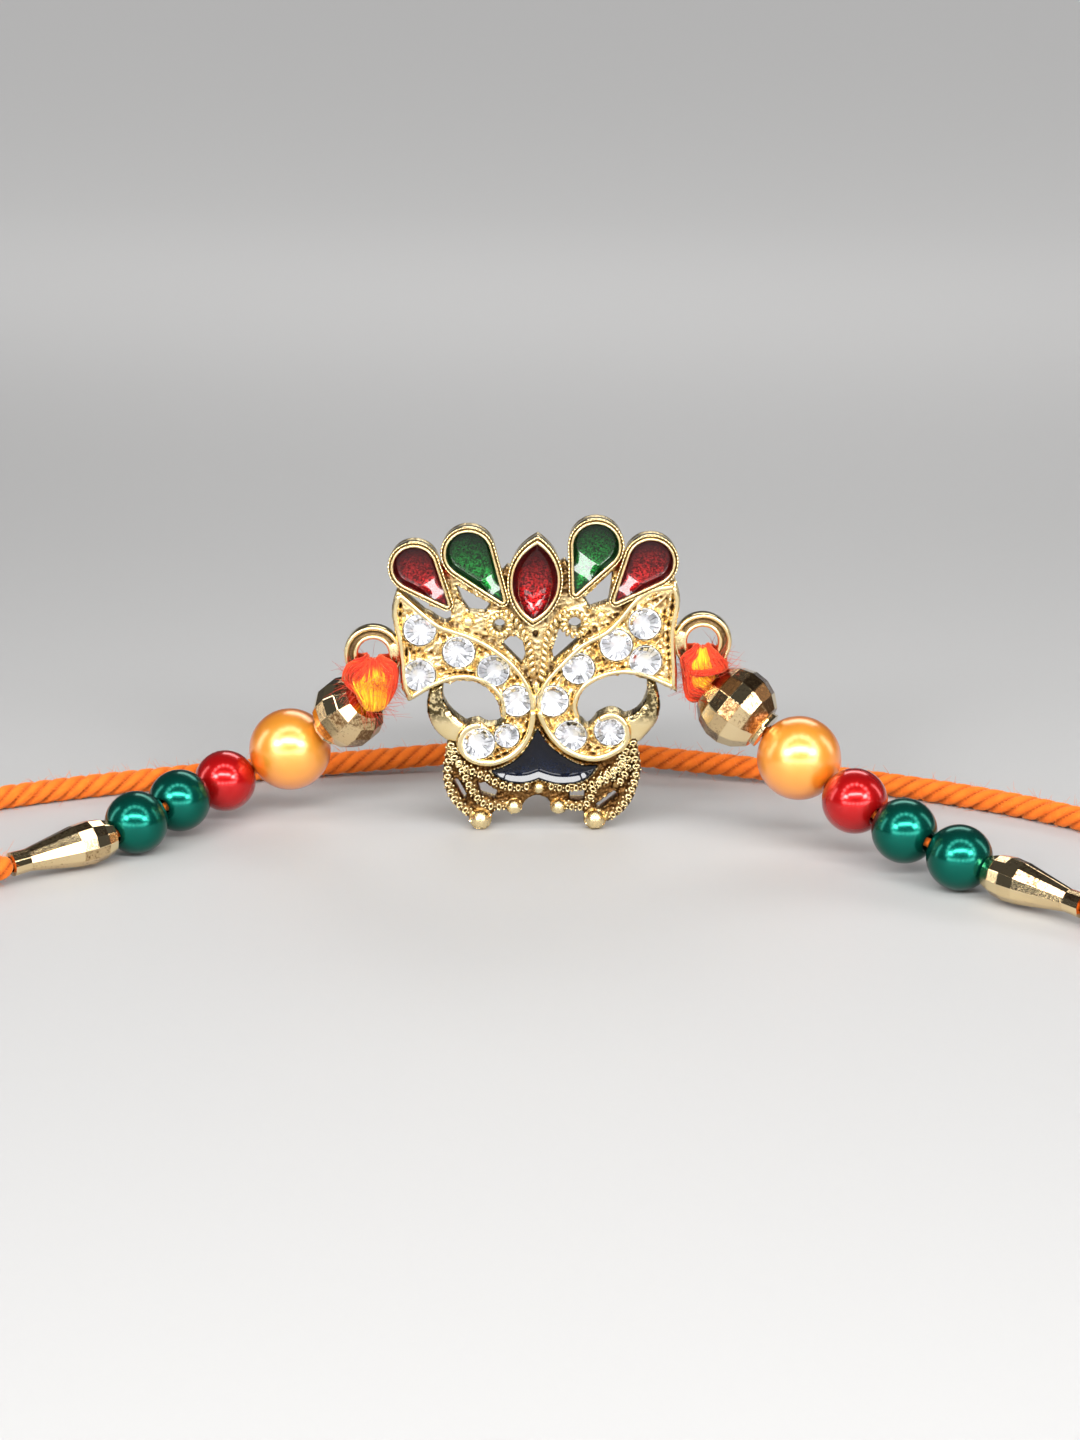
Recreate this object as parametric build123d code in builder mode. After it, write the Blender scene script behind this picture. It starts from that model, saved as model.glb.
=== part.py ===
import os
from math import acos, atan2, cos, hypot, pi, radians, sin, tan

from build123d import *

os.makedirs("parts", exist_ok=True)

# Pendant, in millimetres. Its outlines are drawn on a grid of 28 columns over its two wings
# and 31 rows up: column 0 is the middle and row 0 the surface that it stands on.
pendant_width = 28.0
pendant_height = 31.0
grid_columns = 28
grid_rows = 31
pendant_back_y = 10.47

# Depths of the casting's levels, measured forward from its flat back.
plate_depth = 1.3
cheek_depth = 1.8
wing_depth = 1.7
rope_depth = 2.0
border_depth = 2.2
petal_rim_depth = 2.3
pocket_floor_depth = 0.8
enamel_depth = 1.95

# Raised lines of the casting.
border_width = 0.5
rope_width = 0.8
petal_rim_width = 0.55
petal_tip_radius = 0.12
fit_clearance = 0.04

# Marquise in the middle of the fan.
marquise_half_height = 3.62
marquise_half_width = 2.1
marquise_tip_rim_width = 0.85
marquise_lean = 3.5

# Stones. The small one sits at the inner end of the left curl.
stone_diameter = 3.0
small_stone_diameter = 2.3
stone_sides = 16
stone_girdle_depth = 1.95
stone_girdle_height = 0.12
stone_crown_height = 0.5
stone_pavilion_height = 0.85
stone_table_share = 0.56
stone_culet_share = 0.12
bezel_width = 0.24
bezel_depth = 1.95
seat_floor_depth = 0.9

# Side rings.
ring_outer_radius = 2.8
ring_hole_radius = 1.45
ring_back_depth = 0.1
ring_front_depth = 1.6
ring_groove_width = 0.4
ring_groove_depth = 0.3
ring_neck_radius = 1.0

# Balls of the casting.
upper_ball_left_radius = 0.65
upper_ball_right_radius = 0.5
centre_ball_radius = 0.6
second_ball_radius = 0.72
foot_ball_radius = 0.92
foot_pad_radius = 1.12
ball_centre_depth = 1.35
ball_pad_width = 0.1

# Thread wound on the side rings.
wrap_radius = 2.3
wrap_clearance = 0.06
wrap_depth = 0.85

# Beads.
gold_bead_left_diameter = 7.0
gold_bead_left_length = 6.35
gold_bead_right_diameter = 7.7
gold_bead_right_length = 6.75
gold_bead_sides = 12
gold_collar_length = 0.6
gold_collar_radius = 1.9
orange_pearl_diameter = 8.0
red_pearl_left_diameter = 6.0
red_pearl_right_diameter = 6.2
green_pearl_left_diameter = 6.0
green_pearl_right_diameter = 6.1
cone_length = 10.4
cone_mouth_gap = 0.1
cone_radius = 2.1
cone_sides = 10
bead_bore_radius = 0.75
bead_thread_radius = 0.45
bead_thread_bend = 3.0

# Closing thread and its knot.
closing_thread_radius = 1.15
arc_share = 0.45
knot_radius = 2.1
knot_end_radius = 1.2
knot_face_x = 3.2
thread_end_x = 3.45
knot_y = 28.57
knot_z = 2.1

# Bend points of the two bead strings, from the wound ring to the cone's tail: x, y, z.
# Each bead sits on the straight stretch between two of them.
left_string_points = [
    (-16.52, 9.78, 13.21),
    (-20.43, 13.0, 9.14),
    (-28.21, 14.08, 4.55),
    (-33.05, 10.14, 3.54),
    (-36.06, 4.91, 3.56),
    (-40.01, 0.28, 2.46),
    (-48.4, -6.01, 1.9),
]
right_string_points = [
    (16.75, 9.93, 14.3),
    (21.97, 7.5, 10.5),
    (27.83, 3.25, 6.59),
    (31.79, -1.23, 4.82),
    (36.16, -5.5, 3.73),
    (40.93, -9.13, 2.41),
    (48.2, -16.69, 1.9),
]

# Routes of the closing threads along the surface, between the cone's tail and the knot: x, y, z.
left_route = [
    (-53.52, -9.85, 1.56),
    (-61.9, -9.13, 1.17),
    (-66.9, -1.63, 1.15),
    (-64.1, 7.97, 1.15),
    (-53.9, 15.97, 1.15),
    (-33.2, 23.47, 1.15),
    (-15.7, 27.47, 1.3),
]
right_route = [
    (52.67, -21.34, 1.57),
    (60.5, -22.43, 1.17),
    (66.9, -16.13, 1.15),
    (66.2, -6.13, 1.15),
    (58.6, 4.37, 1.15),
    (44.6, 15.67, 1.15),
    (24.3, 24.27, 1.25),
]

# Petals: name, round end's column and row, inner tip's column and row, round end's radius.
petals = [
    ("enamel_red_left", -11.65, 26.43, -8.6, 22.85, 1.95),
    ("enamel_green_left", -6.52, 27.75, -3.35, 23.25, 2.08),
    ("enamel_green_right", 5.52, 28.5, 3.62, 24.05, 2.12),
    ("enamel_red_right", 10.7, 26.97, 7.45, 23.25, 2.08),
]
marquise_spot = (-0.22, 25.05)

# Stones: name, column, row.
stones = [
    ("stone_left_1", -11.2, 20.3),
    ("stone_left_2", -7.5, 18.1),
    ("stone_left_3", -11.3, 15.8),
    ("stone_left_4", -4.2, 16.25),
    ("stone_left_5", -2.0, 13.25),
    ("stone_left_6", -5.65, 9.0),
    ("stone_left_7", -2.95, 9.75),
    ("stone_right_1", 10.2, 20.9),
    ("stone_right_2", 7.5, 18.8),
    ("stone_right_3", 10.3, 17.2),
    ("stone_right_4", 3.9, 16.5),
    ("stone_right_5", 1.45, 13.25),
    ("stone_right_6", 3.2, 9.75),
    ("stone_right_7", 7.0, 10.3),
]
small_stones = ["stone_left_7"]

# Outlines of the casting: runs of columns and rows that meet at corners.
web_outline = [
    [(-10.5, 24.0), (-8.75, 27.0)],
    [(-8.75, 27.0), (-5.0, 24.5), (-2.85, 26.4)],
    [(-2.85, 26.4), (-0.1, 25.0)],
    [(-0.1, 25.0), (2.6, 27.0)],
    [(2.6, 27.0), (4.2, 25.0), (8.2, 27.8)],
    [(8.2, 27.8), (10.5, 24.8)],
    [(10.5, 24.8), (9.5, 19.5), (3.0, 13.0), (3.0, 8.0)],
    [(3.0, 8.0), (-3.0, 8.0)],
    [(-3.0, 8.0), (-3.0, 13.0), (-9.0, 19.0), (-10.5, 24.0)],
]
wing_left_outline = [
    [(-13.3, 24.2), (-13.85, 22.3), (-13.5, 19.6), (-13.2, 16.6), (-13.0, 14.4), (-12.4, 13.06)],
    [(-12.4, 13.06), (-10.8, 14.1), (-9.2, 14.9), (-6.5, 14.2), (-4.0, 12.0), (-2.6, 11.0)],
    [(-2.6, 11.0), (-0.14, 12.05)],
    [(-0.14, 12.05), (-0.4, 14.4), (-1.1, 15.7), (-2.3, 17.2), (-4.3, 18.8), (-7.2, 20.2),
     (-9.5, 21.0), (-11.4, 22.6), (-13.3, 24.2)],
]
wing_right_outline = [
    [(13.1, 25.0), (13.55, 23.3), (13.2, 20.6), (13.3, 17.0), (13.4, 14.06)],
    [(13.4, 14.06), (11.2, 15.1), (9.0, 15.8), (6.2, 15.0), (4.2, 12.6), (3.0, 11.0)],
    [(3.0, 11.0), (-0.14, 12.05)],
    [(-0.14, 12.05), (0.15, 14.4), (1.5, 16.6), (2.8, 17.9), (4.4, 19.4), (6.3, 20.3), (8.0, 22.1),
     (9.8, 24.2), (13.1, 25.0)],
]
curl_left_outline = [
    [(-0.14, 12.05), (-0.45, 10.1), (-1.75, 7.9), (-4.0, 6.75), (-5.9, 6.8), (-7.4, 7.7),
     (-7.85, 9.1), (-7.45, 10.3), (-6.6, 11.0), (-5.4, 11.2)],
    [(-5.4, 11.2), (-4.2, 10.8), (-2.6, 11.1), (-0.14, 12.05)],
]
curl_right_outline = [
    [(-0.14, 12.05), (0.9, 9.7), (2.6, 7.95), (4.3, 7.25), (5.9, 7.16), (7.5, 7.75), (8.65, 8.6),
     (9.05, 10.0), (8.6, 11.4), (7.0, 12.2), (5.7, 11.6)],
    [(5.7, 11.6), (4.8, 10.6), (3.2, 11.2), (-0.14, 12.05)],
]
cheek_left_outline = [
    [(-10.3, 14.4), (-10.65, 12.7), (-10.25, 10.9), (-9.4, 9.7), (-8.3, 9.0), (-7.0, 8.8)],
    [(-7.0, 8.8), (-6.9, 10.9)],
    [(-6.9, 10.9), (-8.3, 12.1), (-9.0, 13.5), (-9.0, 14.9)],
    [(-9.0, 14.9), (-10.3, 14.4)],
]
cheek_right_outline = [
    [(11.3, 15.0), (11.8, 12.5), (11.4, 11.0), (10.5, 9.8), (9.5, 8.9), (8.4, 8.9)],
    [(8.4, 8.9), (8.4, 11.6)],
    [(8.4, 11.6), (9.4, 12.0), (10.2, 13.0), (10.5, 15.4)],
    [(10.5, 15.4), (11.3, 15.0)],
]
skirt_outline = [
    [(-8.3, 9.2), (-8.95, 7.2), (-9.15, 5.4), (-8.8, 3.7), (-7.9, 2.3), (-6.4, 1.0)],
    [(-6.4, 1.0), (-4.9, 1.0)],
    [(-4.9, 1.0), (-4.1, 1.85), (-2.9, 2.0)],
    [(-2.9, 2.0), (-1.6, 2.1)],
    [(-1.6, 2.1), (-1.1, 3.0), (0.0, 3.45), (1.05, 3.0), (1.4, 2.1)],
    [(1.4, 2.1), (2.7, 2.0)],
    [(2.7, 2.0), (4.3, 1.9), (4.9, 1.0)],
    [(4.9, 1.0), (6.4, 0.7)],
    [(6.4, 0.7), (8.1, 1.6), (9.1, 2.85), (9.75, 4.6), (10.0, 6.4), (9.75, 7.9), (9.5, 9.2)],
    [(9.5, 9.2), (0.0, 10.0), (-8.3, 9.2)],
]
navy_outline = [
    [(0.0, 10.5), (-1.05, 8.5), (-2.8, 6.85), (-4.5, 6.2)],
    [(-4.5, 6.2), (-3.5, 5.4), (-2.1, 5.02), (-0.9, 5.1), (0.1, 5.45)],
    [(0.1, 5.45), (1.3, 5.05), (3.0, 4.92), (4.8, 5.5), (5.8, 6.75)],
    [(5.8, 6.75), (4.3, 6.8), (2.7, 7.55), (1.1, 8.85), (0.0, 10.5)],
]

# Borders and ropes: the middle line of each raised line.
borders = [
    [(-13.1, 23.75), (-13.45, 22.2), (-13.1, 19.4), (-12.82, 16.4), (-12.55, 14.5), (-12.1, 13.6)],
    [(-12.1, 13.6), (-10.7, 14.5), (-9.0, 15.3), (-6.9, 15.68), (-4.6, 14.9), (-3.35, 13.3),
     (-3.25, 11.7)],
    [(-13.1, 23.75), (-11.25, 22.1), (-9.3, 20.58), (-7.0, 19.77), (-4.45, 18.48), (-2.5, 16.9),
     (-1.27, 15.3), (-0.68, 13.95), (-0.42, 12.3)],
    [(-0.42, 12.3), (-0.76, 10.1), (-1.98, 8.2), (-4.0, 7.1), (-5.8, 7.15), (-7.08, 8.0),
     (-7.48, 9.2), (-7.1, 10.15), (-6.35, 10.68), (-5.4, 10.86)],
    [(12.92, 24.55), (13.22, 23.2), (12.87, 20.6), (12.97, 17.0), (13.0, 14.65)],
    [(13.0, 14.65), (11.1, 15.52), (9.0, 16.15), (6.0, 15.7), (4.15, 14.4), (3.55, 12.8), (3.8, 11.6)],
    [(12.92, 24.55), (10.1, 23.75), (8.3, 21.85), (6.5, 19.97), (4.6, 18.95), (2.93, 17.47),
     (1.53, 15.97), (0.5, 14.45), (0.14, 12.3)],
    [(0.14, 12.3), (1.2, 9.98), (2.82, 8.32), (4.42, 7.62), (5.9, 7.52), (7.3, 8.07), (8.33, 8.87),
     (8.68, 10.0), (8.28, 11.13), (7.0, 11.82), (5.92, 11.35)],
]
ropes = [
    [(-3.1, 22.1), (-2.1, 21.2), (-1.3, 19.9), (-0.8, 18.6), (-0.6, 17.2), (-0.4, 15.7)],
    [(2.75, 22.1), (1.85, 21.2), (1.1, 20.0), (0.75, 18.5), (0.6, 16.9), (0.35, 15.3)],
    [(-8.35, 8.8), (-8.6, 7.0), (-8.7, 5.4), (-8.4, 4.0), (-7.6, 2.7), (-6.5, 1.7)],
    [(9.2, 9.0), (9.4, 7.6), (9.55, 6.2), (9.25, 4.7), (8.65, 3.2), (7.8, 2.1), (6.8, 1.3)],
    [(-7.6, 7.0), (-6.9, 5.4), (-6.3, 4.1), (-5.3, 2.9), (-4.2, 2.5), (-3.0, 2.6)],
    [(8.2, 7.0), (6.9, 5.4), (5.4, 4.4), (5.1, 3.3), (4.4, 2.55), (2.9, 2.6)],
    [(-6.3, 6.1), (-4.9, 5.5), (-3.4, 4.7), (-2.0, 4.45), (-0.9, 4.6)],
    [(7.3, 6.1), (6.0, 5.2), (4.4, 4.55), (2.8, 4.4), (1.2, 4.6)],
]

# Openings cut through the plate: corners, rounded by the radius.
opening_corner_radius = 0.22
openings = [
    [(-11.25, 22.75), (-8.2, 21.95), (-8.2, 21.1), (-8.85, 20.9), (-9.6, 21.3)],
    [(-7.75, 24.55), (-4.45, 22.7), (-5.0, 21.85), (-6.45, 21.95), (-7.1, 22.9)],
    [(-3.4, 18.75), (-2.85, 19.4), (-2.0, 19.55), (-1.4, 19.0), (-1.15, 17.6), (-1.5, 16.75)],
    [(2.1, 20.3), (1.4, 18.1), (1.55, 17.05), (4.1, 19.4)],
    [(7.1, 25.9), (6.95, 24.5), (6.7, 22.9), (5.0, 22.3), (4.42, 23.3)],
    [(-5.8, 4.75), (-5.1, 4.75), (-3.85, 3.9), (-4.1, 3.15), (-5.5, 3.6)],
    [(3.14, 3.1), (3.14, 3.95), (4.5, 3.95), (4.5, 3.1)],
]
eye_left = [(-9.0, 14.3), (-7.1, 15.2), (-4.7, 14.3), (-3.65, 12.4), (-3.95, 10.95), (-4.75, 10.75),
            (-5.9, 11.3), (-7.0, 11.35), (-8.3, 12.2), (-9.0, 13.3)]
eye_right = [(3.9, 13.0), (4.2, 11.3), (4.8, 10.75), (5.8, 11.75), (7.2, 12.3), (8.6, 11.8),
             (9.4, 12.0), (10.15, 13.0), (10.5, 14.5), (8.3, 15.6), (5.9, 15.3), (4.5, 14.3)]
# Slots: column and row of one end, then of the other, and the width.
slots = [
    (-7.85, 4.9, -7.1, 3.4, 0.5),
    (5.95, 2.4, 7.4, 3.55, 0.6),
]
# Rope rings round the small holes: column, row, hole radius, ring's outer radius.
rope_rings = [
    (-3.6, 20.75, 0.52, 1.38),
    (3.55, 20.85, 0.62, 1.5),
]


# Turn a column and row of the pendant's grid into millimetres.
def spot(column, row):
    return (column * pendant_width / grid_columns, row * pendant_height / grid_rows)


# Turn a column of the grid and a height into millimetres.
def hung_spot(column, height):
    return (column * pendant_width / grid_columns, height)


# The plane at this depth of the pendant, facing forward, with x across and y up.
def face_plane(depth):
    return Plane(origin=(0, pendant_back_y - depth, 0), x_dir=(1, 0, 0), z_dir=(0, -1, 0))


# Draw each run of grid points as a line or, with more points, a smooth curve.
def draw_runs(runs):
    for run in runs:
        points = [spot(*point) for point in run]
        if len(points) == 2:
            Line(*points)
        else:
            Spline(*points)


# The faces inside outlines, each of them runs that meet end to end.
def outline_faces(outlines, depth=0.0):
    with BuildSketch(face_plane(depth)) as sketch:
        for runs in outlines:
            with BuildLine():
                draw_runs(runs)
            make_face()
    return sketch.sketch


# Bands of this width along smooth lines.
def ridge_faces(lines, width):
    with BuildSketch(face_plane(0)) as sketch:
        for points in lines:
            with BuildLine():
                draw_runs([points])
            trace(line_width=width)
    return sketch.sketch


# Discs, each with its centre and radius.
def disc_faces(discs, depth=0.0):
    with BuildSketch(face_plane(depth)) as sketch:
        for centre, radius in discs:
            with Locations(centre):
                Circle(radius)
    return sketch.sketch


# Flat rings of one size round these centres.
def ring_faces(centres, outer_radius, inner_radius, depth):
    with BuildSketch(face_plane(depth)) as sketch:
        with Locations(*centres):
            Circle(outer_radius)
            Circle(inner_radius, mode=Mode.SUBTRACT)
    return sketch.sketch


# A petal: two circles joined by the two lines that touch both.
def drop_face(round_centre, tip_centre, round_radius, tip_radius, depth=0.0):
    across = tip_centre[0] - round_centre[0]
    up = tip_centre[1] - round_centre[1]
    axis_angle = atan2(up, across)
    touch_angle = acos((round_radius - tip_radius) / hypot(across, up))

    def rim_point(centre, radius, angle):
        return (centre[0] + radius * cos(angle), centre[1] + radius * sin(angle))

    left = axis_angle + touch_angle
    right = axis_angle - touch_angle
    round_left = rim_point(round_centre, round_radius, left)
    round_right = rim_point(round_centre, round_radius, right)
    tip_left = rim_point(tip_centre, tip_radius, left)
    tip_right = rim_point(tip_centre, tip_radius, right)
    with BuildSketch(face_plane(depth)) as sketch:
        with BuildLine():
            ThreePointArc(round_left, rim_point(round_centre, round_radius, axis_angle + pi), round_right)
            Line(round_right, tip_right)
            ThreePointArc(tip_right, rim_point(tip_centre, tip_radius, axis_angle), tip_left)
            Line(tip_left, round_left)
        make_face()
    return sketch.sketch


# The leaning marquise, a pointed oval: two arcs that meet at its top and bottom.
def marquise_face(half_width, half_height, depth=0.0):
    across, up = spot(*marquise_spot)
    lean = radians(marquise_lean)
    tip_across = half_height * sin(lean)
    tip_up = half_height * cos(lean)
    side_across = half_width * cos(lean)
    side_up = half_width * sin(lean)
    top = (across + tip_across, up + tip_up)
    bottom = (across - tip_across, up - tip_up)
    with BuildSketch(face_plane(depth)) as sketch:
        with BuildLine():
            ThreePointArc(top, (across + side_across, up - side_up), bottom)
            ThreePointArc(bottom, (across - side_across, up + side_up), top)
        make_face()
    return sketch.sketch


# Everything cut right through the plate: openings with rounded corners, then the two eyes.
def opening_faces():
    with BuildSketch(face_plane(0)) as sketch:
        for corners in openings:
            with BuildLine():
                Polyline(*[spot(*corner) for corner in corners], close=True)
            make_face()
        fillet(sketch.vertices(), opening_corner_radius)
        for points in (eye_left, eye_right):
            with BuildLine():
                Spline(*[spot(*point) for point in points], periodic=True)
            make_face()
    return sketch.sketch


# The girdle radius of a stone.
def stone_radius(name):
    if name in small_stones:
        return small_stone_diameter / 2
    return stone_diameter / 2


# A petal's face, grown by a margin.
def petal_face(petal, margin, depth=0.0):
    name, column, row, tip_column, tip_row, radius = petal
    return drop_face(
        spot(column, row), spot(tip_column, tip_row), radius + margin, petal_tip_radius + margin, depth
    )


# Side rings, their necks and the thread wound on them: column of the grid, height in millimetres.
side_rings = {"left": (-15.7, 17.75), "right": (15.75, 18.98)}
ring_necks = {"left": (-13.5, 17.95), "right": (13.6, 19.1)}
wrap_spots = {"left": (-16.2, 14.8), "right": (16.25, 16.0)}

# Balls of the casting: column, row, radius.
balls = [
    (-6.6, 21.0, upper_ball_left_radius),
    (6.05, 21.6, upper_ball_right_radius),
    (0.15, 4.4, centre_ball_radius),
    (-2.3, 2.4, second_ball_radius),
    (2.03, 2.4, second_ball_radius),
]
feet = [(-5.55, foot_pad_radius), (5.6, foot_pad_radius)]

# The casting: plate, raised fields, borders, ropes, rims, rings and balls in one solid.
ring_centres = [hung_spot(*place) for place in side_rings.values()]
pads = [(spot(column, row), radius + ball_pad_width) for column, row, radius in balls]
pads += [(place, foot_pad_radius) for place in feet]
necks = [(hung_spot(*place), ring_neck_radius) for place in ring_necks.values()]
rope_discs = [(spot(column, row), outer_radius) for column, row, hole_radius, outer_radius in rope_rings]
rope_holes = [(spot(column, row), hole_radius) for column, row, hole_radius, outer_radius in rope_rings]
bezels = [(spot(column, row), stone_radius(name) + bezel_width) for name, column, row in stones]
seats = [(spot(column, row), stone_radius(name) + fit_clearance) for name, column, row in stones]
ring_thickness = ring_front_depth - ring_back_depth
groove_radius = (ring_outer_radius + ring_hole_radius + ring_groove_width) / 2
groove_floor_depth = ring_front_depth - ring_groove_depth
through_depth = 2 * petal_rim_depth
wings_and_curls = [wing_left_outline, wing_right_outline, curl_left_outline, curl_right_outline]
with BuildPart() as pendant_frame:
    extrude(to_extrude=outline_faces([web_outline, skirt_outline]), amount=plate_depth)
    extrude(to_extrude=disc_faces(pads), amount=plate_depth)
    extrude(to_extrude=outline_faces([cheek_left_outline, cheek_right_outline]), amount=cheek_depth)
    extrude(to_extrude=outline_faces(wings_and_curls), amount=wing_depth)
    extrude(to_extrude=disc_faces(necks), amount=ring_front_depth)
    extrude(
        to_extrude=ring_faces(ring_centres, ring_outer_radius, ring_hole_radius, ring_back_depth),
        amount=ring_thickness,
    )
    extrude(to_extrude=ridge_faces(ropes, rope_width), amount=rope_depth)
    extrude(to_extrude=disc_faces(rope_discs), amount=rope_depth)
    extrude(to_extrude=ridge_faces(borders, border_width), amount=border_depth)
    extrude(to_extrude=disc_faces(bezels), amount=bezel_depth)
    for petal in petals:
        extrude(to_extrude=petal_face(petal, petal_rim_width), amount=petal_rim_depth)
    extrude(
        to_extrude=marquise_face(
            marquise_half_width + petal_rim_width, marquise_half_height + marquise_tip_rim_width
        ),
        amount=petal_rim_depth,
    )

    extrude(to_extrude=opening_faces(), amount=through_depth, mode=Mode.SUBTRACT)
    for column, row, end_column, end_row, width in slots:
        extrude(
            to_extrude=drop_face(spot(column, row), spot(end_column, end_row), width / 2, width / 2),
            amount=through_depth,
            mode=Mode.SUBTRACT,
        )
    extrude(to_extrude=disc_faces(rope_holes), amount=through_depth, mode=Mode.SUBTRACT)
    extrude(
        to_extrude=ring_faces(
            ring_centres, groove_radius, groove_radius - ring_groove_width, groove_floor_depth
        ),
        amount=ring_groove_depth,
        mode=Mode.SUBTRACT,
    )
    for petal in petals:
        extrude(to_extrude=petal_face(petal, 0, pocket_floor_depth), amount=through_depth, mode=Mode.SUBTRACT)
    extrude(
        to_extrude=marquise_face(marquise_half_width, marquise_half_height, pocket_floor_depth),
        amount=through_depth,
        mode=Mode.SUBTRACT,
    )
    extrude(
        to_extrude=outline_faces([navy_outline], pocket_floor_depth), amount=through_depth, mode=Mode.SUBTRACT
    )
    extrude(to_extrude=disc_faces(seats, seat_floor_depth), amount=through_depth, mode=Mode.SUBTRACT)
    ball_y = pendant_back_y - ball_centre_depth
    for column, row, radius in balls:
        across, up = spot(column, row)
        with Locations((across, ball_y, up)):
            Sphere(radius)
    for across, up in feet:
        with Locations((across, ball_y, up)):
            Sphere(foot_ball_radius)
pendant_frame.part.label = "pendant_frame"
export_step(pendant_frame.part, "parts/pendant_frame.step")
print("pendant_frame solids", len(pendant_frame.part.solids()), "valid", pendant_frame.part.is_valid)

# Enamel: each pool fills its pocket up to just below the rim.
enamel_floor = pocket_floor_depth + fit_clearance
enamel_height = enamel_depth - enamel_floor
for petal in petals:
    with BuildPart() as enamel:
        extrude(to_extrude=petal_face(petal, -fit_clearance, enamel_floor), amount=enamel_height)
    enamel.part.label = petal[0]
    export_step(enamel.part, f"parts/{petal[0]}.step")
with BuildPart() as enamel_red_centre:
    extrude(
        to_extrude=marquise_face(
            marquise_half_width - fit_clearance, marquise_half_height - 2 * fit_clearance, enamel_floor
        ),
        amount=enamel_height,
    )
enamel_red_centre.part.label = "enamel_red_centre"
export_step(enamel_red_centre.part, "parts/enamel_red_centre.step")
navy_middle = (0.6, 6.7)
navy_fit_share = 0.975
navy_runs = []
for run in navy_outline:
    navy_runs.append([
        (
            navy_middle[0] + (column - navy_middle[0]) * navy_fit_share,
            navy_middle[1] + (row - navy_middle[1]) * navy_fit_share,
        )
        for column, row in run
    ])
with BuildPart() as enamel_navy:
    extrude(to_extrude=outline_faces([navy_runs], enamel_floor), amount=enamel_height)
enamel_navy.part.label = "enamel_navy"
export_step(enamel_navy.part, "parts/enamel_navy.step")

# Stones: a small culet, a pavilion, a thin girdle, and a crown with a flat table.
for name, column, row in stones:
    girdle_radius = stone_radius(name)
    height_share = girdle_radius * 2 / stone_diameter
    crown_base = stone_girdle_depth + stone_girdle_height / 2
    pavilion_top = stone_girdle_depth - stone_girdle_height / 2
    levels = [
        (pavilion_top - stone_pavilion_height * height_share, stone_culet_share * girdle_radius),
        (pavilion_top, girdle_radius),
        (crown_base, girdle_radius),
        (crown_base + stone_crown_height * height_share, stone_table_share * girdle_radius),
    ]
    with BuildPart() as stone:
        for depth, radius in levels:
            with BuildSketch(face_plane(depth)):
                with Locations(spot(column, row)):
                    RegularPolygon(radius, stone_sides)
        loft(ruled=True)
    stone.part.label = name
    export_step(stone.part, f"parts/{name}.step")


# A plane across a straight stretch of a string, this far from the stretch's first point.
def string_plane(points, stretch, distance):
    start = Vector(*points[stretch])
    direction = (Vector(*points[stretch + 1]) - start).normalized()
    across = direction.cross(Vector(0, 0, 1))
    return Plane(origin=start + direction * distance, x_dir=across, z_dir=direction)


# The length of a straight stretch of a string.
def stretch_length(points, stretch):
    return (Vector(*points[stretch + 1]) - Vector(*points[stretch])).length


# The radius of each arc: a share of the shorter run beside it, over the tangent of half the turn.
def arc_radii(points, largest=None):
    radii = []
    for before, corner, after in zip(points, points[1:], points[2:]):
        run_in = Vector(*corner) - Vector(*before)
        run_out = Vector(*after) - Vector(*corner)
        half_turn = radians(run_in.get_angle(run_out)) / 2
        radius = arc_share * min(run_in.length, run_out.length) / tan(half_turn)
        radii.append(min(radius, largest) if largest else radius)
    return radii


# Move points out sideways with the side ring that they hang from.
def moved_out(points, side):
    outward = side_rings[side][0] * (pendant_width / grid_columns - 1)
    return [(x + outward, y, z) for x, y, z in points]


# End a string at its cone's tail.
def ended_at_cone(points):
    mouth = Vector(*points[-2])
    direction = (Vector(*points[-1]) - mouth).normalized()
    tail = mouth + direction * (cone_mouth_gap + cone_length)
    return points[:-1] + [(tail.X, tail.Y, tail.Z)]


strings = {
    "left": ended_at_cone(moved_out(left_string_points, "left")),
    "right": ended_at_cone(moved_out(right_string_points, "right")),
}
routes = {
    "left": [strings["left"][-1]] + moved_out(left_route, "left") + [(-thread_end_x, knot_y, knot_z)],
    "right": [strings["right"][-1]] + moved_out(right_route, "right") + [(thread_end_x, knot_y, knot_z)],
}

# Wound thread: a soft ball on the lower half of the side ring, flat where the gold bead meets it.
for side, points in strings.items():
    with BuildPart() as ring_wrap:
        across, up = hung_spot(*wrap_spots[side])
        with Locations((across, pendant_back_y - wrap_depth, up)):
            Sphere(wrap_radius)
        extrude(
            to_extrude=ring_faces(
                [hung_spot(*side_rings[side])],
                ring_outer_radius + wrap_clearance,
                ring_hole_radius - wrap_clearance,
                ring_back_depth - wrap_clearance,
            ),
            amount=ring_thickness + 2 * wrap_clearance,
            mode=Mode.SUBTRACT,
        )
        split(bisect_by=string_plane(points, 0, -wrap_clearance), keep=Keep.BOTTOM)
    ring_wrap.part.label = f"ring_wrap_{side}"
    export_step(ring_wrap.part, f"parts/ring_wrap_{side}.step")
    print(ring_wrap.part.label, "solids", len(ring_wrap.part.solids()), "volume", ring_wrap.part.volume)

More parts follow.
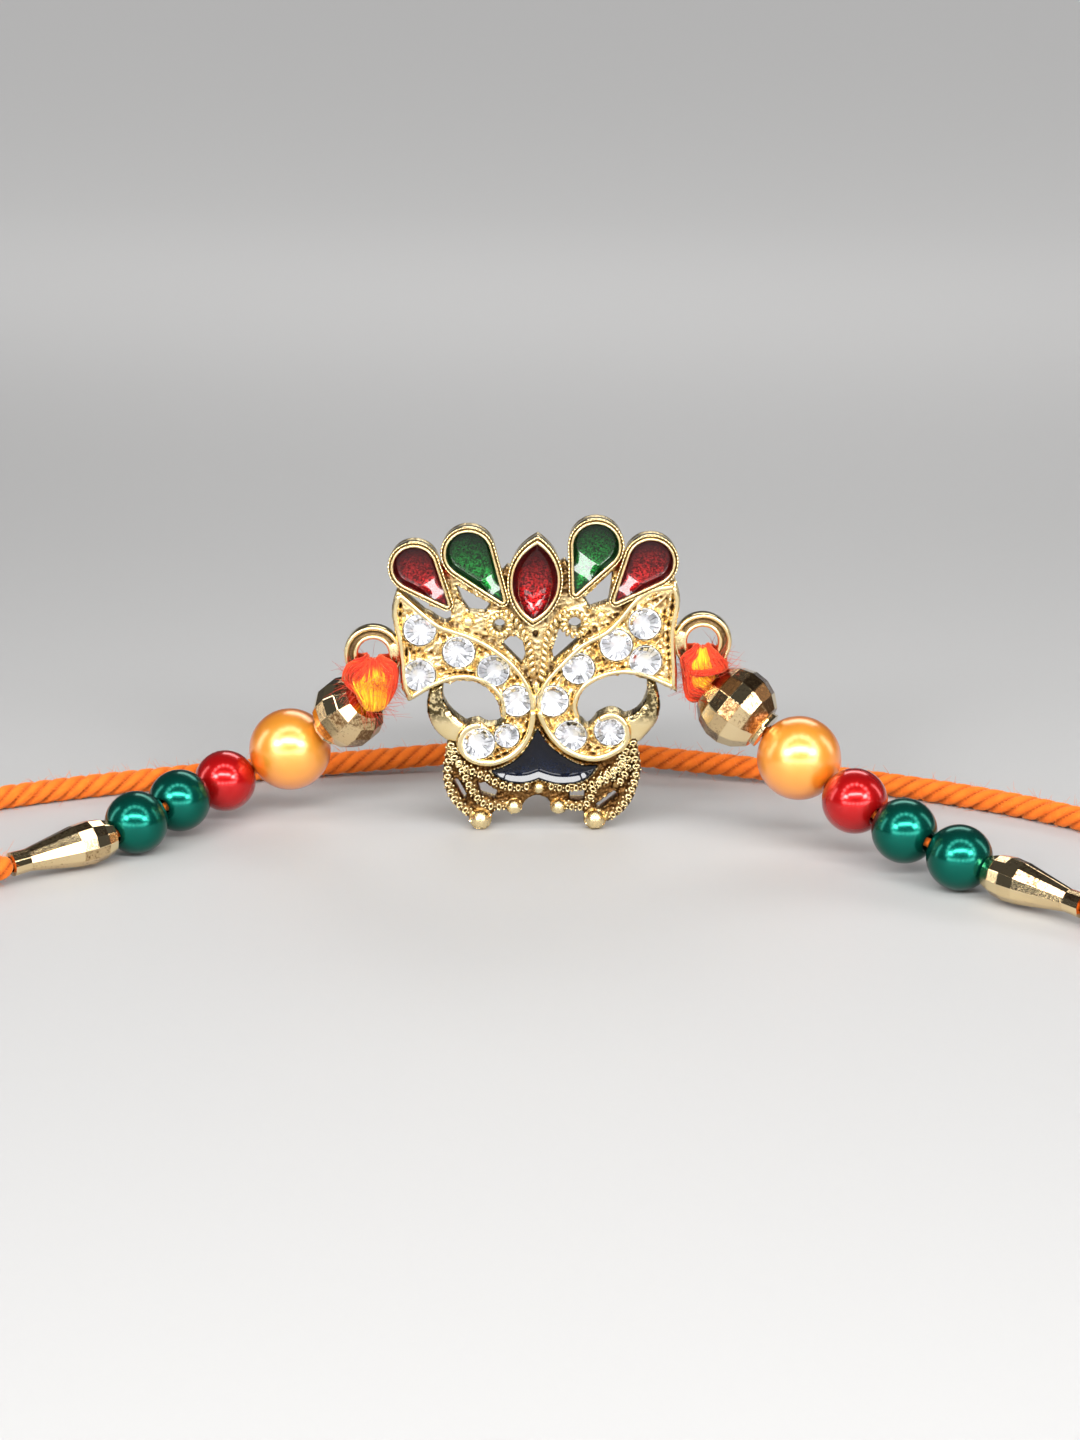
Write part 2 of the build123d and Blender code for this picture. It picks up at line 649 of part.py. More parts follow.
# Gold beads: rows of flat facets between rings of equal corners, and a collar at the outer end.
# Each row's two edges: share of the half length, share of the radius.
gold_bead_rows = [(-1.0, 0.62), (-0.64, 0.87), (-0.22, 1.0), (0.22, 1.0), (0.64, 0.87), (1.0, 0.62)]
gold_beads = {
    "left": (gold_bead_left_diameter / 2, gold_bead_left_length),
    "right": (gold_bead_right_diameter / 2, gold_bead_right_length),
}
for side, (radius, length) in gold_beads.items():
    points = strings[side]
    start = (stretch_length(points, 0) - length) / 2
    facet_length = length - gold_collar_length
    with BuildPart() as gold_bead:
        for length_share, radius_share in gold_bead_rows:
            distance = start + facet_length * (1 + length_share) / 2
            with BuildSketch(string_plane(points, 0, distance)):
                RegularPolygon(radius * radius_share, gold_bead_sides)
        loft(ruled=True)
        with BuildSketch(string_plane(points, 0, start + facet_length)):
            Circle(gold_collar_radius)
        extrude(amount=gold_collar_length)
        with BuildSketch(string_plane(points, 0, start)):
            Circle(bead_bore_radius)
        extrude(amount=length, mode=Mode.SUBTRACT)
    gold_bead.part.label = f"gold_bead_{side}"
    export_step(gold_bead.part, f"parts/gold_bead_{side}.step")

# Pearls: name, side, stretch of the string, diameter.
pearls = [
    ("orange_pearl_left", "left", 1, orange_pearl_diameter),
    ("red_pearl_left", "left", 2, red_pearl_left_diameter),
    ("green_pearl_inner_left", "left", 3, green_pearl_left_diameter),
    ("green_pearl_outer_left", "left", 4, green_pearl_left_diameter),
    ("orange_pearl_right", "right", 1, orange_pearl_diameter),
    ("red_pearl_right", "right", 2, red_pearl_right_diameter),
    ("green_pearl_inner_right", "right", 3, green_pearl_right_diameter),
    ("green_pearl_outer_right", "right", 4, green_pearl_right_diameter),
]
for name, side, stretch, diameter in pearls:
    middle = stretch_length(strings[side], stretch) / 2
    with BuildPart(string_plane(strings[side], stretch, middle)) as pearl:
        Sphere(diameter / 2)
        Cylinder(bead_bore_radius, diameter, mode=Mode.SUBTRACT)
    pearl.part.label = name
    export_step(pearl.part, f"parts/{name}.step")

# Cones: a faceted drop, widest near its mouth. Each row's edge: share of length, share of radius.
cone_stretch = 5
cone_rows = [(0.0, 0.74), (0.07, 0.92), (0.24, 1.0), (0.5, 0.88), (0.76, 0.7), (1.0, 0.54)]
for side, points in strings.items():
    with BuildPart() as gold_cone:
        for length_share, radius_share in cone_rows:
            distance = cone_mouth_gap + cone_length * length_share
            with BuildSketch(string_plane(points, cone_stretch, distance)):
                RegularPolygon(cone_radius * radius_share, cone_sides)
        loft(ruled=True)
        with BuildSketch(string_plane(points, cone_stretch, cone_mouth_gap)):
            Circle(bead_bore_radius)
        extrude(amount=cone_length, mode=Mode.SUBTRACT)
    gold_cone.part.label = f"gold_cone_{side}"
    export_step(gold_cone.part, f"parts/gold_cone_{side}.step")

# Thread inside the beads, bent where two beads meet.
for side, points in strings.items():
    with BuildPart() as bead_thread:
        with BuildLine() as thread_path:
            FilletPolyline(*points, radius=arc_radii(points, bead_thread_bend))
        with BuildSketch(string_plane(points, 0, 0)):
            Circle(bead_thread_radius)
        sweep(path=thread_path.wires()[0])
    bead_thread.part.label = f"bead_thread_{side}"
    export_step(bead_thread.part, f"parts/bead_thread_{side}.step")

# Closing threads: straight runs joined by tangent arcs, from the cone's tail to the knot.
loop_length = 0.0
for side, points in routes.items():
    with BuildPart() as closing_thread:
        with BuildLine() as thread_path:
            FilletPolyline(*points, radius=arc_radii(points))
        with BuildSketch(string_plane(points, 0, 0)):
            Circle(closing_thread_radius)
        sweep(path=thread_path.wires()[0])
    closing_thread.part.label = f"closing_thread_{side}"
    export_step(closing_thread.part, f"parts/closing_thread_{side}.step")
    route_length = thread_path.wires()[0].length
    section = pi * closing_thread_radius**2
    print(closing_thread.part.label, "arc radii", [round(radius, 1) for radius in arc_radii(points)])
    print("  length", route_length, "volume", closing_thread.part.volume, "of", section * route_length)
    print("  lowest", closing_thread.part.bounding_box().min.Z)

# Tie knot: a rounded barrel between the threads' ends.
knot_middle = Vector(0, knot_y, knot_z)
knot_plane = Plane(origin=knot_middle, x_dir=(0, 0, 1), z_dir=(0, -1, 0))
with BuildPart() as tie_knot:
    with BuildSketch(knot_plane):
        with BuildLine():
            ThreePointArc((knot_end_radius, -knot_face_x), (knot_radius, 0), (knot_end_radius, knot_face_x))
            Line((knot_end_radius, knot_face_x), (0, knot_face_x))
            Line((0, knot_face_x), (0, -knot_face_x))
            Line((0, -knot_face_x), (knot_end_radius, -knot_face_x))
        make_face()
    revolve(axis=Axis(knot_middle, (1, 0, 0)))
tie_knot.part.label = "tie_knot"
export_step(tie_knot.part, "parts/tie_knot.step")
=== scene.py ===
import math

import bpy
import numpy as np
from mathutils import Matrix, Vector


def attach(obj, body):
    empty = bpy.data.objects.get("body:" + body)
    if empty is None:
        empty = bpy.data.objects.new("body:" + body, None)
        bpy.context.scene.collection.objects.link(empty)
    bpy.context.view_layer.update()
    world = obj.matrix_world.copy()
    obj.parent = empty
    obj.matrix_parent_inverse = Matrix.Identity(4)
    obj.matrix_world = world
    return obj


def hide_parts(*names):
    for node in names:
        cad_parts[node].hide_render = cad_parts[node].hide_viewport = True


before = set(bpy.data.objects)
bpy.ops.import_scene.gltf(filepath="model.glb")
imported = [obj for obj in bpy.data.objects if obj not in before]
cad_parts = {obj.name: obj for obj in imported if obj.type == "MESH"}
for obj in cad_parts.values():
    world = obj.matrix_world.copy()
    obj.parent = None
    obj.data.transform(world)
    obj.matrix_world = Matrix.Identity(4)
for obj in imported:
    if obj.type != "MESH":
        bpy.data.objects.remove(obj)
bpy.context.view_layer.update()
mm = 0.001  # every table and function below works in millimetres
randomDraws = np.random.default_rng(11)
weldCell = 0.0005  # millimetres
print("frame loaded:", len(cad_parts), "nodes")


# Meshes from arrays

# Faces of a grid of points, row by row; a wrapped side joins its last points to its first.
def gridFaces(rows, columns, wrapRows=False, wrapColumns=False):
    row = np.arange(rows if wrapRows else rows - 1)[:, None]
    column = np.arange(columns if wrapColumns else columns - 1)[None, :]
    nextRow = (row + 1) % rows
    nextColumn = (column + 1) % columns
    corners = [row * columns + column, row * columns + nextColumn,
               nextRow * columns + nextColumn, nextRow * columns + column]
    return np.stack(np.broadcast_arrays(*corners), -1).reshape(-1, 4)


# Merge points that fall in one cell of a fine lattice, and split faces into quads and triangles.
def weldPoints(points, faces):
    keys = np.round(points / weldCell).astype(np.int64)
    _, first, inverse = np.unique(keys, axis=0, return_index=True, return_inverse=True)
    faces = inverse.reshape(-1)[faces]
    if faces.shape[1] == 3:
        same = (faces[:, 0] == faces[:, 1]) | (faces[:, 1] == faces[:, 2]) | (faces[:, 0] == faces[:, 2])
        return first, np.zeros((0, 4), int), faces[~same]
    pairs = np.stack([faces[:, k] == faces[:, (k + 1) % 4] for k in range(4)], 1)
    crossed = (faces[:, 0] == faces[:, 2]) | (faces[:, 1] == faces[:, 3])
    quads = faces[~pairs.any(1) & ~crossed]
    triangles = []
    for k in range(4):  # the quad's other three corners, where two neighbours are one point
        folded = faces[pairs[:, k] & (pairs.sum(1) == 1) & ~crossed]
        triangles.append(np.delete(folded, k, axis=1))
    return first, quads, np.concatenate(triangles)


# Six times the volume that the faces enclose: the sum over triangles of a . (b x c).
def signedVolume(points, quads, triangles):
    halves = np.concatenate([quads[:, [0, 1, 2]], quads[:, [0, 2, 3]], triangles])
    a, b, c = (points[halves[:, k]] for k in range(3))
    return float((a * np.cross(b, c)).sum())


# A new object that shows this data, linked into the scene.
def newObject(name, data):
    made = bpy.data.objects.new(name, data)
    bpy.context.scene.collection.objects.link(made)
    return made


# Put points (millimetres) and faces into a new object that rides on the part's one body. The values are
# numbers a point, by name, for the material.
def makePiece(name, points, faces, material, smooth=True, values=None):
    first, quads, triangles = weldPoints(points, faces)
    kept = points[first]
    if signedVolume(kept - kept.mean(0), quads, triangles) < 0:
        quads, triangles = quads[:, ::-1], triangles[:, ::-1]
    mesh = bpy.data.meshes.new(name)
    mesh.from_pydata((kept * mm).tolist(), [], quads.tolist() + triangles.tolist())
    mesh.polygons.foreach_set("use_smooth", np.full(len(mesh.polygons), smooth))
    for key, numbers in (values or {}).items():
        attribute = mesh.attributes.new(key, "FLOAT", "POINT")
        attribute.data.foreach_set("value", numbers[first].astype(np.float32))
    mesh.materials.append(material)
    mesh.update()
    piece = newObject(name, mesh)
    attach(piece, "root")
    return piece


# Join several sets of points and faces into one.
def joinParts(parts):
    points, faces, offset = [], [], 0
    for partPoints, partFaces in parts:
        points.append(partPoints)
        faces.append(partFaces + offset)
        offset += len(partPoints)
    return np.concatenate(points), np.concatenate(faces)


# Lines and distances

# A vector at unit length.
def unit(vector):
    return np.asarray(vector, float) / np.linalg.norm(vector)


# Length along a line from its start to each of its points.
def lengthAlong(line):
    return np.concatenate([[0], np.cumsum(np.linalg.norm(np.diff(line, axis=0), axis=1))])


# Natural cubic through the points with chord length as its parameter, resampled at even steps.
def smoothLine(points, spacing=0.12, closed=False):
    points = np.asarray(points, float)
    if closed:
        points = np.concatenate([points[-4:], points, points[:5]])
    chord = lengthAlong(points)
    if len(points) == 2:
        dense = points[0] + np.linspace(0, 1, 50)[:, None] * (points[1] - points[0])
    else:
        gaps = np.diff(chord)
        count = len(points)
        matrix = np.eye(count)
        right = np.zeros_like(points)
        slopes = np.diff(points, axis=0) / gaps[:, None]
        for k in range(1, count - 1):
            matrix[k, k - 1:k + 2] = gaps[k - 1], 2 * (gaps[k - 1] + gaps[k]), gaps[k]
            right[k] = 6 * (slopes[k] - slopes[k - 1])
        bend = np.linalg.solve(matrix, right)
        start, stop = (chord[4], chord[-5]) if closed else (0, chord[-1])
        at = np.linspace(start, stop, 40 * count)
        k = np.clip(np.searchsorted(chord, at, "right") - 1, 0, count - 2)
        u = ((at - chord[k]) / gaps[k])[:, None]
        h = gaps[k][:, None]
        cubic = ((1 - u) ** 3 - (1 - u)) * bend[k] + (u ** 3 - u) * bend[k + 1]
        dense = (1 - u) * points[k] + u * points[k + 1] + cubic * h * h / 6
    return evenSteps(dense, spacing)


# Points at even steps of length along a dense line.
def evenSteps(dense, spacing):
    length = lengthAlong(dense)
    at = np.linspace(0, length[-1], max(2, int(round(length[-1] / spacing)) + 1))
    return np.stack([np.interp(at, length, dense[:, k]) for k in range(dense.shape[1])], 1)


# Distance from each point to the nearest place on a line.
def distanceToLine(points, line):
    start, step = line[:-1], np.diff(line, axis=0)
    long = np.linalg.norm(step, axis=1)
    away = points[:, None] - start[None]
    share = np.clip((away * step).sum(-1) / (long ** 2 + 1e-12), 0, 1)
    gap = away - share[..., None] * step
    return np.sqrt((gap ** 2).sum(-1).min(1))


# Unit tangent, side and up vectors along a path, the side level with the floor or with a given normal.
def pathFrame(path, up=(0, 0, 1)):
    tangent = np.gradient(path, axis=0)
    tangent /= np.linalg.norm(tangent, axis=1)[:, None]
    side = np.cross(tangent, np.asarray(up, float))
    side /= np.linalg.norm(side, axis=1)[:, None]
    return tangent, side, np.cross(side, tangent)


# A tube along a path: at each row a ring of points at this radius (a number or an array of rows by
# columns), its two ends closed to a point.
def tubeAlong(path, radius, columns=8, up=(0, 0, 1)):
    _, side, above = pathFrame(path, up)
    angle = np.linspace(0, 2 * np.pi, columns, endpoint=False)
    if np.ndim(radius) == 1:
        radius = np.reshape(radius, (-1, 1))
    radius = np.broadcast_to(radius, (len(path), columns))
    ring = np.cos(angle)[:, None] * side[:, None, :] + np.sin(angle)[:, None] * above[:, None, :]
    points = path[:, None, :] + ring * radius[..., None]
    first = np.repeat(path[:1, None, :], columns, 1)
    last = np.repeat(path[-1:, None, :], columns, 1)
    points = np.concatenate([first, points, last])
    return points.reshape(-1, 3), gridFaces(len(points), columns, wrapColumns=True)


# Many thin tubes at once: paths is strands by rows by 3, radius strands by rows.
def manyTubes(paths, radius, columns):
    tangent = np.gradient(paths, axis=1)
    tangent /= np.linalg.norm(tangent, axis=2)[..., None] + 1e-9
    side = np.cross(tangent, np.array((0.0, 0.0, 1.0)) + 1e-3)
    side /= np.linalg.norm(side, axis=2)[..., None] + 1e-9
    above = np.cross(side, tangent)
    angle = np.linspace(0, 2 * np.pi, columns, endpoint=False)[:, None]
    ring = np.cos(angle) * side[:, :, None, :] + np.sin(angle) * above[:, :, None, :]
    points = paths[:, :, None, :] + ring * radius[:, :, None, None]
    first = np.repeat(paths[:, :1, None, :], columns, 2)
    last = np.repeat(paths[:, -1:, None, :], columns, 2)
    points = np.concatenate([first, points, last], 1)
    strands, rows = points.shape[:2]
    faces = gridFaces(rows, columns, wrapColumns=True)
    offset = (np.arange(strands) * rows * columns)[:, None, None]
    return points.reshape(-1, 3), (faces[None] + offset).reshape(-1, 4)


# A surface of revolution: a profile of (distance along the axis, radius) turned about it.
def turnedShape(profile, columns, start, axis):
    axis = unit(axis)
    across = unit(np.cross(axis, (0.0, 0.0, 1.0)))
    other = np.cross(across, axis)
    angle = np.linspace(0, 2 * np.pi, columns, endpoint=False)
    ring = np.cos(angle)[:, None] * across + np.sin(angle)[:, None] * other
    profile = np.asarray(profile, float)
    points = np.asarray(start) + profile[:, 0, None, None] * axis + profile[:, 1, None, None] * ring
    return points.reshape(-1, 3), gridFaces(len(profile), columns, wrapColumns=True)


# Shader expressions

# One socket of a material's nodes. Sums, products and powers of sockets and numbers add Math nodes.
class Wire:
    def __init__(self, tree, socket):
        self.tree = tree
        self.socket = socket

    def joined(self, operation, other):
        return addNode(self.tree, "ShaderNodeMath", {"operation": operation}, {0: self, 1: other})

    def __add__(self, other):
        return self.joined("ADD", other)

    def __radd__(self, other):
        return self.joined("ADD", other)

    def __sub__(self, other):
        return self.joined("SUBTRACT", other)

    def __rsub__(self, other):
        return addNode(self.tree, "ShaderNodeMath", {"operation": "SUBTRACT"}, {0: other, 1: self})

    def __mul__(self, other):
        return self.joined("MULTIPLY", other)

    def __rmul__(self, other):
        return self.joined("MULTIPLY", other)

    def __pow__(self, other):
        return self.joined("POWER", other)


# Any node: its settings are set first, then the values or wires of its sockets. Its first output,
# or the named one, comes back as a wire.
def addNode(tree, kind, settings=None, inputs=None, output=0):
    node = tree.nodes.new(kind)
    for key, value in (settings or {}).items():
        setattr(node, key, value)
    for key, value in (inputs or {}).items():
        if isinstance(value, Wire):
            tree.links.new(value.socket, node.inputs[key])
        elif hasattr(value, "__len__") and node.inputs[key].type == "RGBA":
            node.inputs[key].default_value = (*value, 1) if len(value) == 3 else value
        else:
            node.inputs[key].default_value = value
    return Wire(tree, node.outputs[output])


# The shader's sockets whose names are more than one word, or not the key's own word.
socketNames = {
    "baseColor": "Base Color", "specular": "Specular IOR Level", "ior": "IOR",
    "transmission": "Transmission Weight",
    "coat": "Coat Weight", "coatRoughness": "Coat Roughness", "coatIor": "Coat IOR",
    "sheen": "Sheen Weight", "sheenRoughness": "Sheen Roughness", "sheenTint": "Sheen Tint",
    "emissionColor": "Emission Color", "emissionStrength": "Emission Strength",
}


# A new material, its tree and its Principled node, with these values in the node's sockets.
def newMaterial(name, **sockets):
    material = bpy.data.materials.new(name)
    material.use_nodes = True
    tree = material.node_tree
    shader = tree.nodes["Principled BSDF"]
    for key, value in sockets.items():
        value = (*value, 1) if hasattr(value, "__len__") else value
        shader.inputs[socketNames.get(key, key.capitalize())].default_value = value
    return material, tree, shader


# Wires into the shader's sockets.
def linkTo(tree, shader, **wires):
    for key, wire in wires.items():
        tree.links.new(wire.socket, shader.inputs[socketNames.get(key, key.capitalize())])


# Place in the object's own frame, in metres, so that a texture's scale is in cells a metre.
def objectPlace(tree):
    return addNode(tree, "ShaderNodeTexCoord", output="Object")


# Smooth noise from 0 to 1.
def noiseOn(tree, scale, detail=2.0, roughness=0.5):
    inputs = {"Vector": objectPlace(tree), "Scale": scale, "Detail": detail, "Roughness": roughness}
    return addNode(tree, "ShaderNodeTexNoise", None, inputs, "Fac")


# The first colour where the share is 0, the second where it is 1.
def mixColours(tree, share, first, second):
    return addNode(tree, "ShaderNodeMix", {"data_type": "RGBA"}, {0: share, 6: first, 7: second}, 2)


# How far a wire lies from low to high, kept between 0 and 1.
def rangeOf(tree, value, low, high):
    return addNode(tree, "ShaderNodeMapRange", None, {"Value": value, "From Min": low, "From Max": high})


# A normal from a height, its distance in millimetres.
def bumpFrom(tree, height, strength, distance):
    return addNode(tree, "ShaderNodeBump", None,
                   {"Strength": strength, "Distance": distance * mm, "Height": height})


# A value that makePiece keeps for each point.
def attributeOf(tree, name):
    return addNode(tree, "ShaderNodeAttribute", {"attribute_name": name}, output="Fac")


# Camera, floor and light

view = {"target": (0.24, 8.87, 11.25), "elevation": 17.0, "distance": 260.0, "lens": 67.6}
elevation = math.radians(view["elevation"])
camera = newObject("viewCamera", bpy.data.cameras.new("viewCamera"))
camera.data.lens = view["lens"]
camera.data.sensor_fit = "AUTO"
camera.data.clip_start = 0.01
camera.location = [mm * (centre + view["distance"] * away) for centre, away in
                   zip(view["target"], (0, -math.cos(elevation), math.sin(elevation)))]
camera.rotation_euler = (math.pi / 2 - elevation, 0, 0)
bpy.context.scene.camera = camera

studio = {
    "floorColour": (0.42, 0.415, 0.41),
    "floorRoughness": 0.62,
    "floorHalf": 6000.0,
    "floorBelow": 0.02,
    "worldColour": (0.6, 0.62, 0.66),
    "worldStrength": 0.13,
    # A ring of soft boxes round the camera, a little above it: angles in degrees, millimetres, watts.
    "ring": {"count": 18, "elevation": 33.0, "opening": 46.0, "distance": 420.0, "size": 70.0,
             "watts": 0.105, "lowest": 9.0},
    # Two wide lamps, behind and before the part, that shine straight down on the far floor and not on
    # the part.
    "wash": {"away": 3080, "height": 450, "size": (9000, 5600), "watts": 168.0, "spread": 62.0},
    # Each lamp's middle, its width and height, and its watts.
    "lamps": {
        "topBox": ((0, -292, 273), (330, 48), 1.3),
        "leftGlare": ((-232, -284, 216), (100, 80), 0.68),
        "rightGlare": ((232, -284, 216), (100, 80), 0.68),
        "leftBox": ((-330, 40, 120), (60, 240), 0.16),
        "rightBox": ((330, 60, 150), (60, 240), 0.16),
        "backBox": ((60, 330, 260), (300, 100), 0.35),
    },
}


# A rectangular lamp with this middle, turned to the target, in millimetres; its light opens by the spread,
# in degrees.
def addLamp(name, middle, size, watts, target=(0.0, 5.0, 12.0), spread=180.0):
    lamp = bpy.data.lights.new(name, "AREA")
    lamp.shape = "RECTANGLE"
    lamp.size, lamp.size_y = size[0] * mm, size[1] * mm
    lamp.energy = watts
    lamp.spread = math.radians(spread)
    holder = newObject(name, lamp)
    holder.location = [value * mm for value in middle]
    toward = Vector([mm * value for value in target]) - holder.location
    holder.rotation_euler = toward.to_track_quat("-Z", "Y").to_euler()


# The floor, the plain world and the lamps. The ring's boxes stand at even turns about an axis that rises
# in front of the part, each at the opening angle from it and none under the lowest elevation.
def makeStudio():
    floorMaterial, _, _ = newMaterial("paleFloor", baseColor=studio["floorColour"],
                                      roughness=studio["floorRoughness"])
    half, below = studio["floorHalf"] * mm, studio["floorBelow"] * mm
    corners = [(x * half, y * half, -below) for x, y in ((-1, -1), (1, -1), (1, 1), (-1, 1))]
    mesh = bpy.data.meshes.new("floor")
    mesh.from_pydata(corners, [], [(0, 1, 2, 3)])
    mesh.materials.append(floorMaterial)
    floor = newObject("floor", mesh)
    world = bpy.data.worlds.new("studioWorld")
    world.use_nodes = True
    background = world.node_tree.nodes["Background"]
    background.inputs["Color"].default_value = (*studio["worldColour"], 1)
    background.inputs["Strength"].default_value = studio["worldStrength"]
    bpy.context.scene.world = world
    bpy.context.scene.view_settings.view_transform = "Standard"
    for name, (middle, size, watts) in studio["lamps"].items():
        addLamp(name, middle, size, watts)
    wash = studio["wash"]
    for name, y in (("washBehind", wash["away"]), ("washBefore", -wash["away"])):
        addLamp(name, (0.0, y, wash["height"]), wash["size"], wash["watts"], (0.0, y + 1.0, 0.0),
                wash["spread"])
    ring = studio["ring"]
    axis = math.radians(ring["elevation"])
    opening = math.radians(ring["opening"])
    forward = np.array([0, -math.cos(axis), math.sin(axis)])
    upward = np.array([0, math.sin(axis), math.cos(axis)])
    for k in range(ring["count"]):
        turn = 2 * math.pi * (k + 0.5) / ring["count"]
        sideways = np.array([math.sin(turn), 0, 0]) + math.cos(turn) * upward
        place = math.cos(opening) * forward + math.sin(opening) * sideways
        place[2] = max(place[2], math.sin(math.radians(ring["lowest"])))
        place = ring["distance"] * place / np.linalg.norm(place)
        addLamp("ringBox" + str(k + 1), place, (ring["size"], ring["size"]), ring["watts"])


makeStudio()
print("studio ready")


# Yarn: the closing threads and their knot

yarn = {
    "radius": 1.15, "plies": 4, "pitch": 7.0, "plyDepth": 0.17, "columns": 48, "spacing": 0.28,
    "valley": 2.2, "ridges": 14, "ridgeLean": 9.0, "ridgeRise": 0.018, "endTaper": 0.75,
    "hairsPerMillimetre": 9, "hairLength": (0.5, 1.7), "hairRadius": 0.022,
    "colour": (0.66, 0.11, 0.008), "lightColour": (0.86, 0.2, 0.015), "valleyShadeColour": (0.3, 0.035, 0.004),
}
# The closing threads' routes, from the cone's tail to the knot, as in the part's own source.
leftRoute = [(-48.4, -6.01, 1.9), (-53.52, -9.85, 1.56), (-61.9, -9.13, 1.17), (-66.9, -1.63, 1.15),
             (-64.1, 7.97, 1.15), (-53.9, 15.97, 1.15), (-33.2, 23.47, 1.15), (-15.7, 27.47, 1.3),
             (-3.45, 28.57, 2.1)]
rightRoute = [(48.2, -16.69, 1.9), (52.67, -21.34, 1.57), (60.5, -22.43, 1.17), (66.9, -16.13, 1.15),
              (66.2, -6.13, 1.15), (58.6, 4.37, 1.15), (44.6, 15.67, 1.15), (24.3, 24.27, 1.25),
              (3.45, 28.57, 2.1)]


# The points of a smooth NURBS line with the route's points as its controls.
def routeLine(route):
    curve = bpy.data.curves.new("route", "CURVE")
    curve.dimensions = "3D"
    curve.resolution_u = 24
    spline = curve.splines.new("NURBS")
    spline.points.add(len(route) - 1)
    for point, place in zip(spline.points, route):
        point.co = (*place, 1)
    spline.order_u = 3
    spline.use_endpoint_u = True
    holder = newObject("route", curve)
    mesh = bpy.data.meshes.new_from_object(holder)
    points = np.array([vertex.co[:] for vertex in mesh.vertices])
    bpy.data.objects.remove(holder)
    return points


# Dull dyed yarn, patched in two tones, with painted shade between its plies.
def makeYarnMaterial():
    material, tree, shader = newMaterial("orangeYarn", roughness=0.85, sheen=0.6, sheenRoughness=0.4,
                                         sheenTint=(1.0, 0.5, 0.2), specular=0.25)
    shadeLine = attributeOf(tree, "shadeLine")
    patch = noiseOn(tree, 900.0, 3.0)
    fibre = noiseOn(tree, 5200.0, 3.0, 0.7)
    base = mixColours(tree, patch, yarn["colour"], yarn["lightColour"])
    base = mixColours(tree, shadeLine, base, yarn["valleyShadeColour"])
    linkTo(tree, shader, baseColor=base, normal=bumpFrom(tree, fibre, 0.6, 0.08))
    return material


yarnMaterial = makeYarnMaterial()


# Plied yarn: the section's radius is R (1 - 2.2 depth v ^ 3 + fine ridges). The valley v is
# 1 - |cos(plies (angle - turn) / 2)|, the turn grows by a full circle each pitch, and the ridges lean the
# other way. The ends close over within a radius.
def plyTube(path, radius, plies, pitch, depth, columns):
    length = lengthAlong(path)
    angle = np.linspace(0, 2 * np.pi, columns, endpoint=False)[None, :]
    turn = 2 * np.pi * length[:, None] / pitch
    valley = 1 - np.abs(np.cos(plies * (angle - turn) / 2))
    ridges = np.sin(angle * yarn["ridges"] + length[:, None] * yarn["ridgeLean"])
    section = radius * (1 - depth * valley ** 3 * yarn["valley"] + yarn["ridgeRise"] * ridges)
    near = np.minimum(length, length[-1] - length)[:, None]
    section = section * np.sqrt(1 - (1 - np.clip(near / radius, 0, 1)) ** 2 * yarn["endTaper"])
    points, faces = tubeAlong(path, section, columns)
    # Painted shade: the valleys between the plies, which the material darkens.
    shadeLine = np.concatenate([np.zeros((1, columns)), valley ** 3, np.zeros((1, columns))])
    return points, faces, shadeLine.reshape(-1)


# A hair's points, how deep it is rooted, its way out, its lean along and round the yarn, how it curls and
# thins, and how near the floor it may come.
hair = {"rows": 6, "root": 0.85, "outward": 0.62, "sideways": 0.25, "lean": 0.9, "swing": 1.2, "curl": 0.6,
        "thinning": 0.6, "lowest": 0.03}


# Short curved fibres that stand out of a line of this radius: each grows from its root by its length
# times a share, and its tip curls sideways by the share squared.
def hairsOn(path, radius, count, lengths, hairRadius):
    tangent, side, above = pathFrame(path)
    k = randomDraws.integers(1, len(path) - 1, count)
    angle = randomDraws.uniform(0, 2 * np.pi, count)[:, None]
    outward = np.cos(angle) * side[k] + np.sin(angle) * above[k]
    sideways = -np.sin(angle) * side[k] + np.cos(angle) * above[k]
    lean = randomDraws.uniform(-hair["lean"], hair["lean"], (count, 1))
    swing = randomDraws.uniform(-hair["swing"], hair["swing"], (count, 1))
    long = randomDraws.uniform(*lengths, (count, 1))
    share = np.linspace(0, 1, hair["rows"])[None, :, None]
    start = path[k] + outward * radius * hair["root"]
    grow = outward * hair["outward"] + tangent[k] * lean + sideways * hair["sideways"]
    curl = (sideways * swing)[:, None] * share ** 2 * hair["curl"]
    paths = start[:, None] + long[:, None] * (grow[:, None] * share + curl)
    paths[..., 2] = np.maximum(paths[..., 2], hair["lowest"])
    thin = np.broadcast_to(hairRadius * (1 - hair["thinning"] * share[..., 0]), (count, hair["rows"]))
    return manyTubes(paths, thin, 3)


# The two closing threads, each with its start, length and path.
def makeClosingThreads():
    threads = []
    for name, route, nodeName in (("closingThreadLeft", leftRoute, "closing_thread_left"),
                                  ("closingThreadRight", rightRoute, "closing_thread_right")):
        path = evenSteps(routeLine(route), yarn["spacing"])
        points, faces, shadeLine = plyTube(path, yarn["radius"], yarn["plies"], yarn["pitch"],
                                        yarn["plyDepth"], yarn["columns"])
        points[:, 2] = np.maximum(points[:, 2], 0.0)
        length = float(np.linalg.norm(np.diff(path, axis=0), axis=1).sum())
        hairs = hairsOn(path, yarn["radius"], int(length * yarn["hairsPerMillimetre"]),
                        yarn["hairLength"], yarn["hairRadius"])
        allPoints, allFaces = joinParts([(points, faces), hairs])
        allShadeLine = np.concatenate([shadeLine, np.zeros(len(hairs[0]))])
        thread = makePiece(name, allPoints, allFaces, yarnMaterial,
                           values={"shadeLine": allShadeLine})
        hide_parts(nodeName)
        threads.append((thread, route[0], length, path))
        print(name, "length", round(length, 1))
    return threads


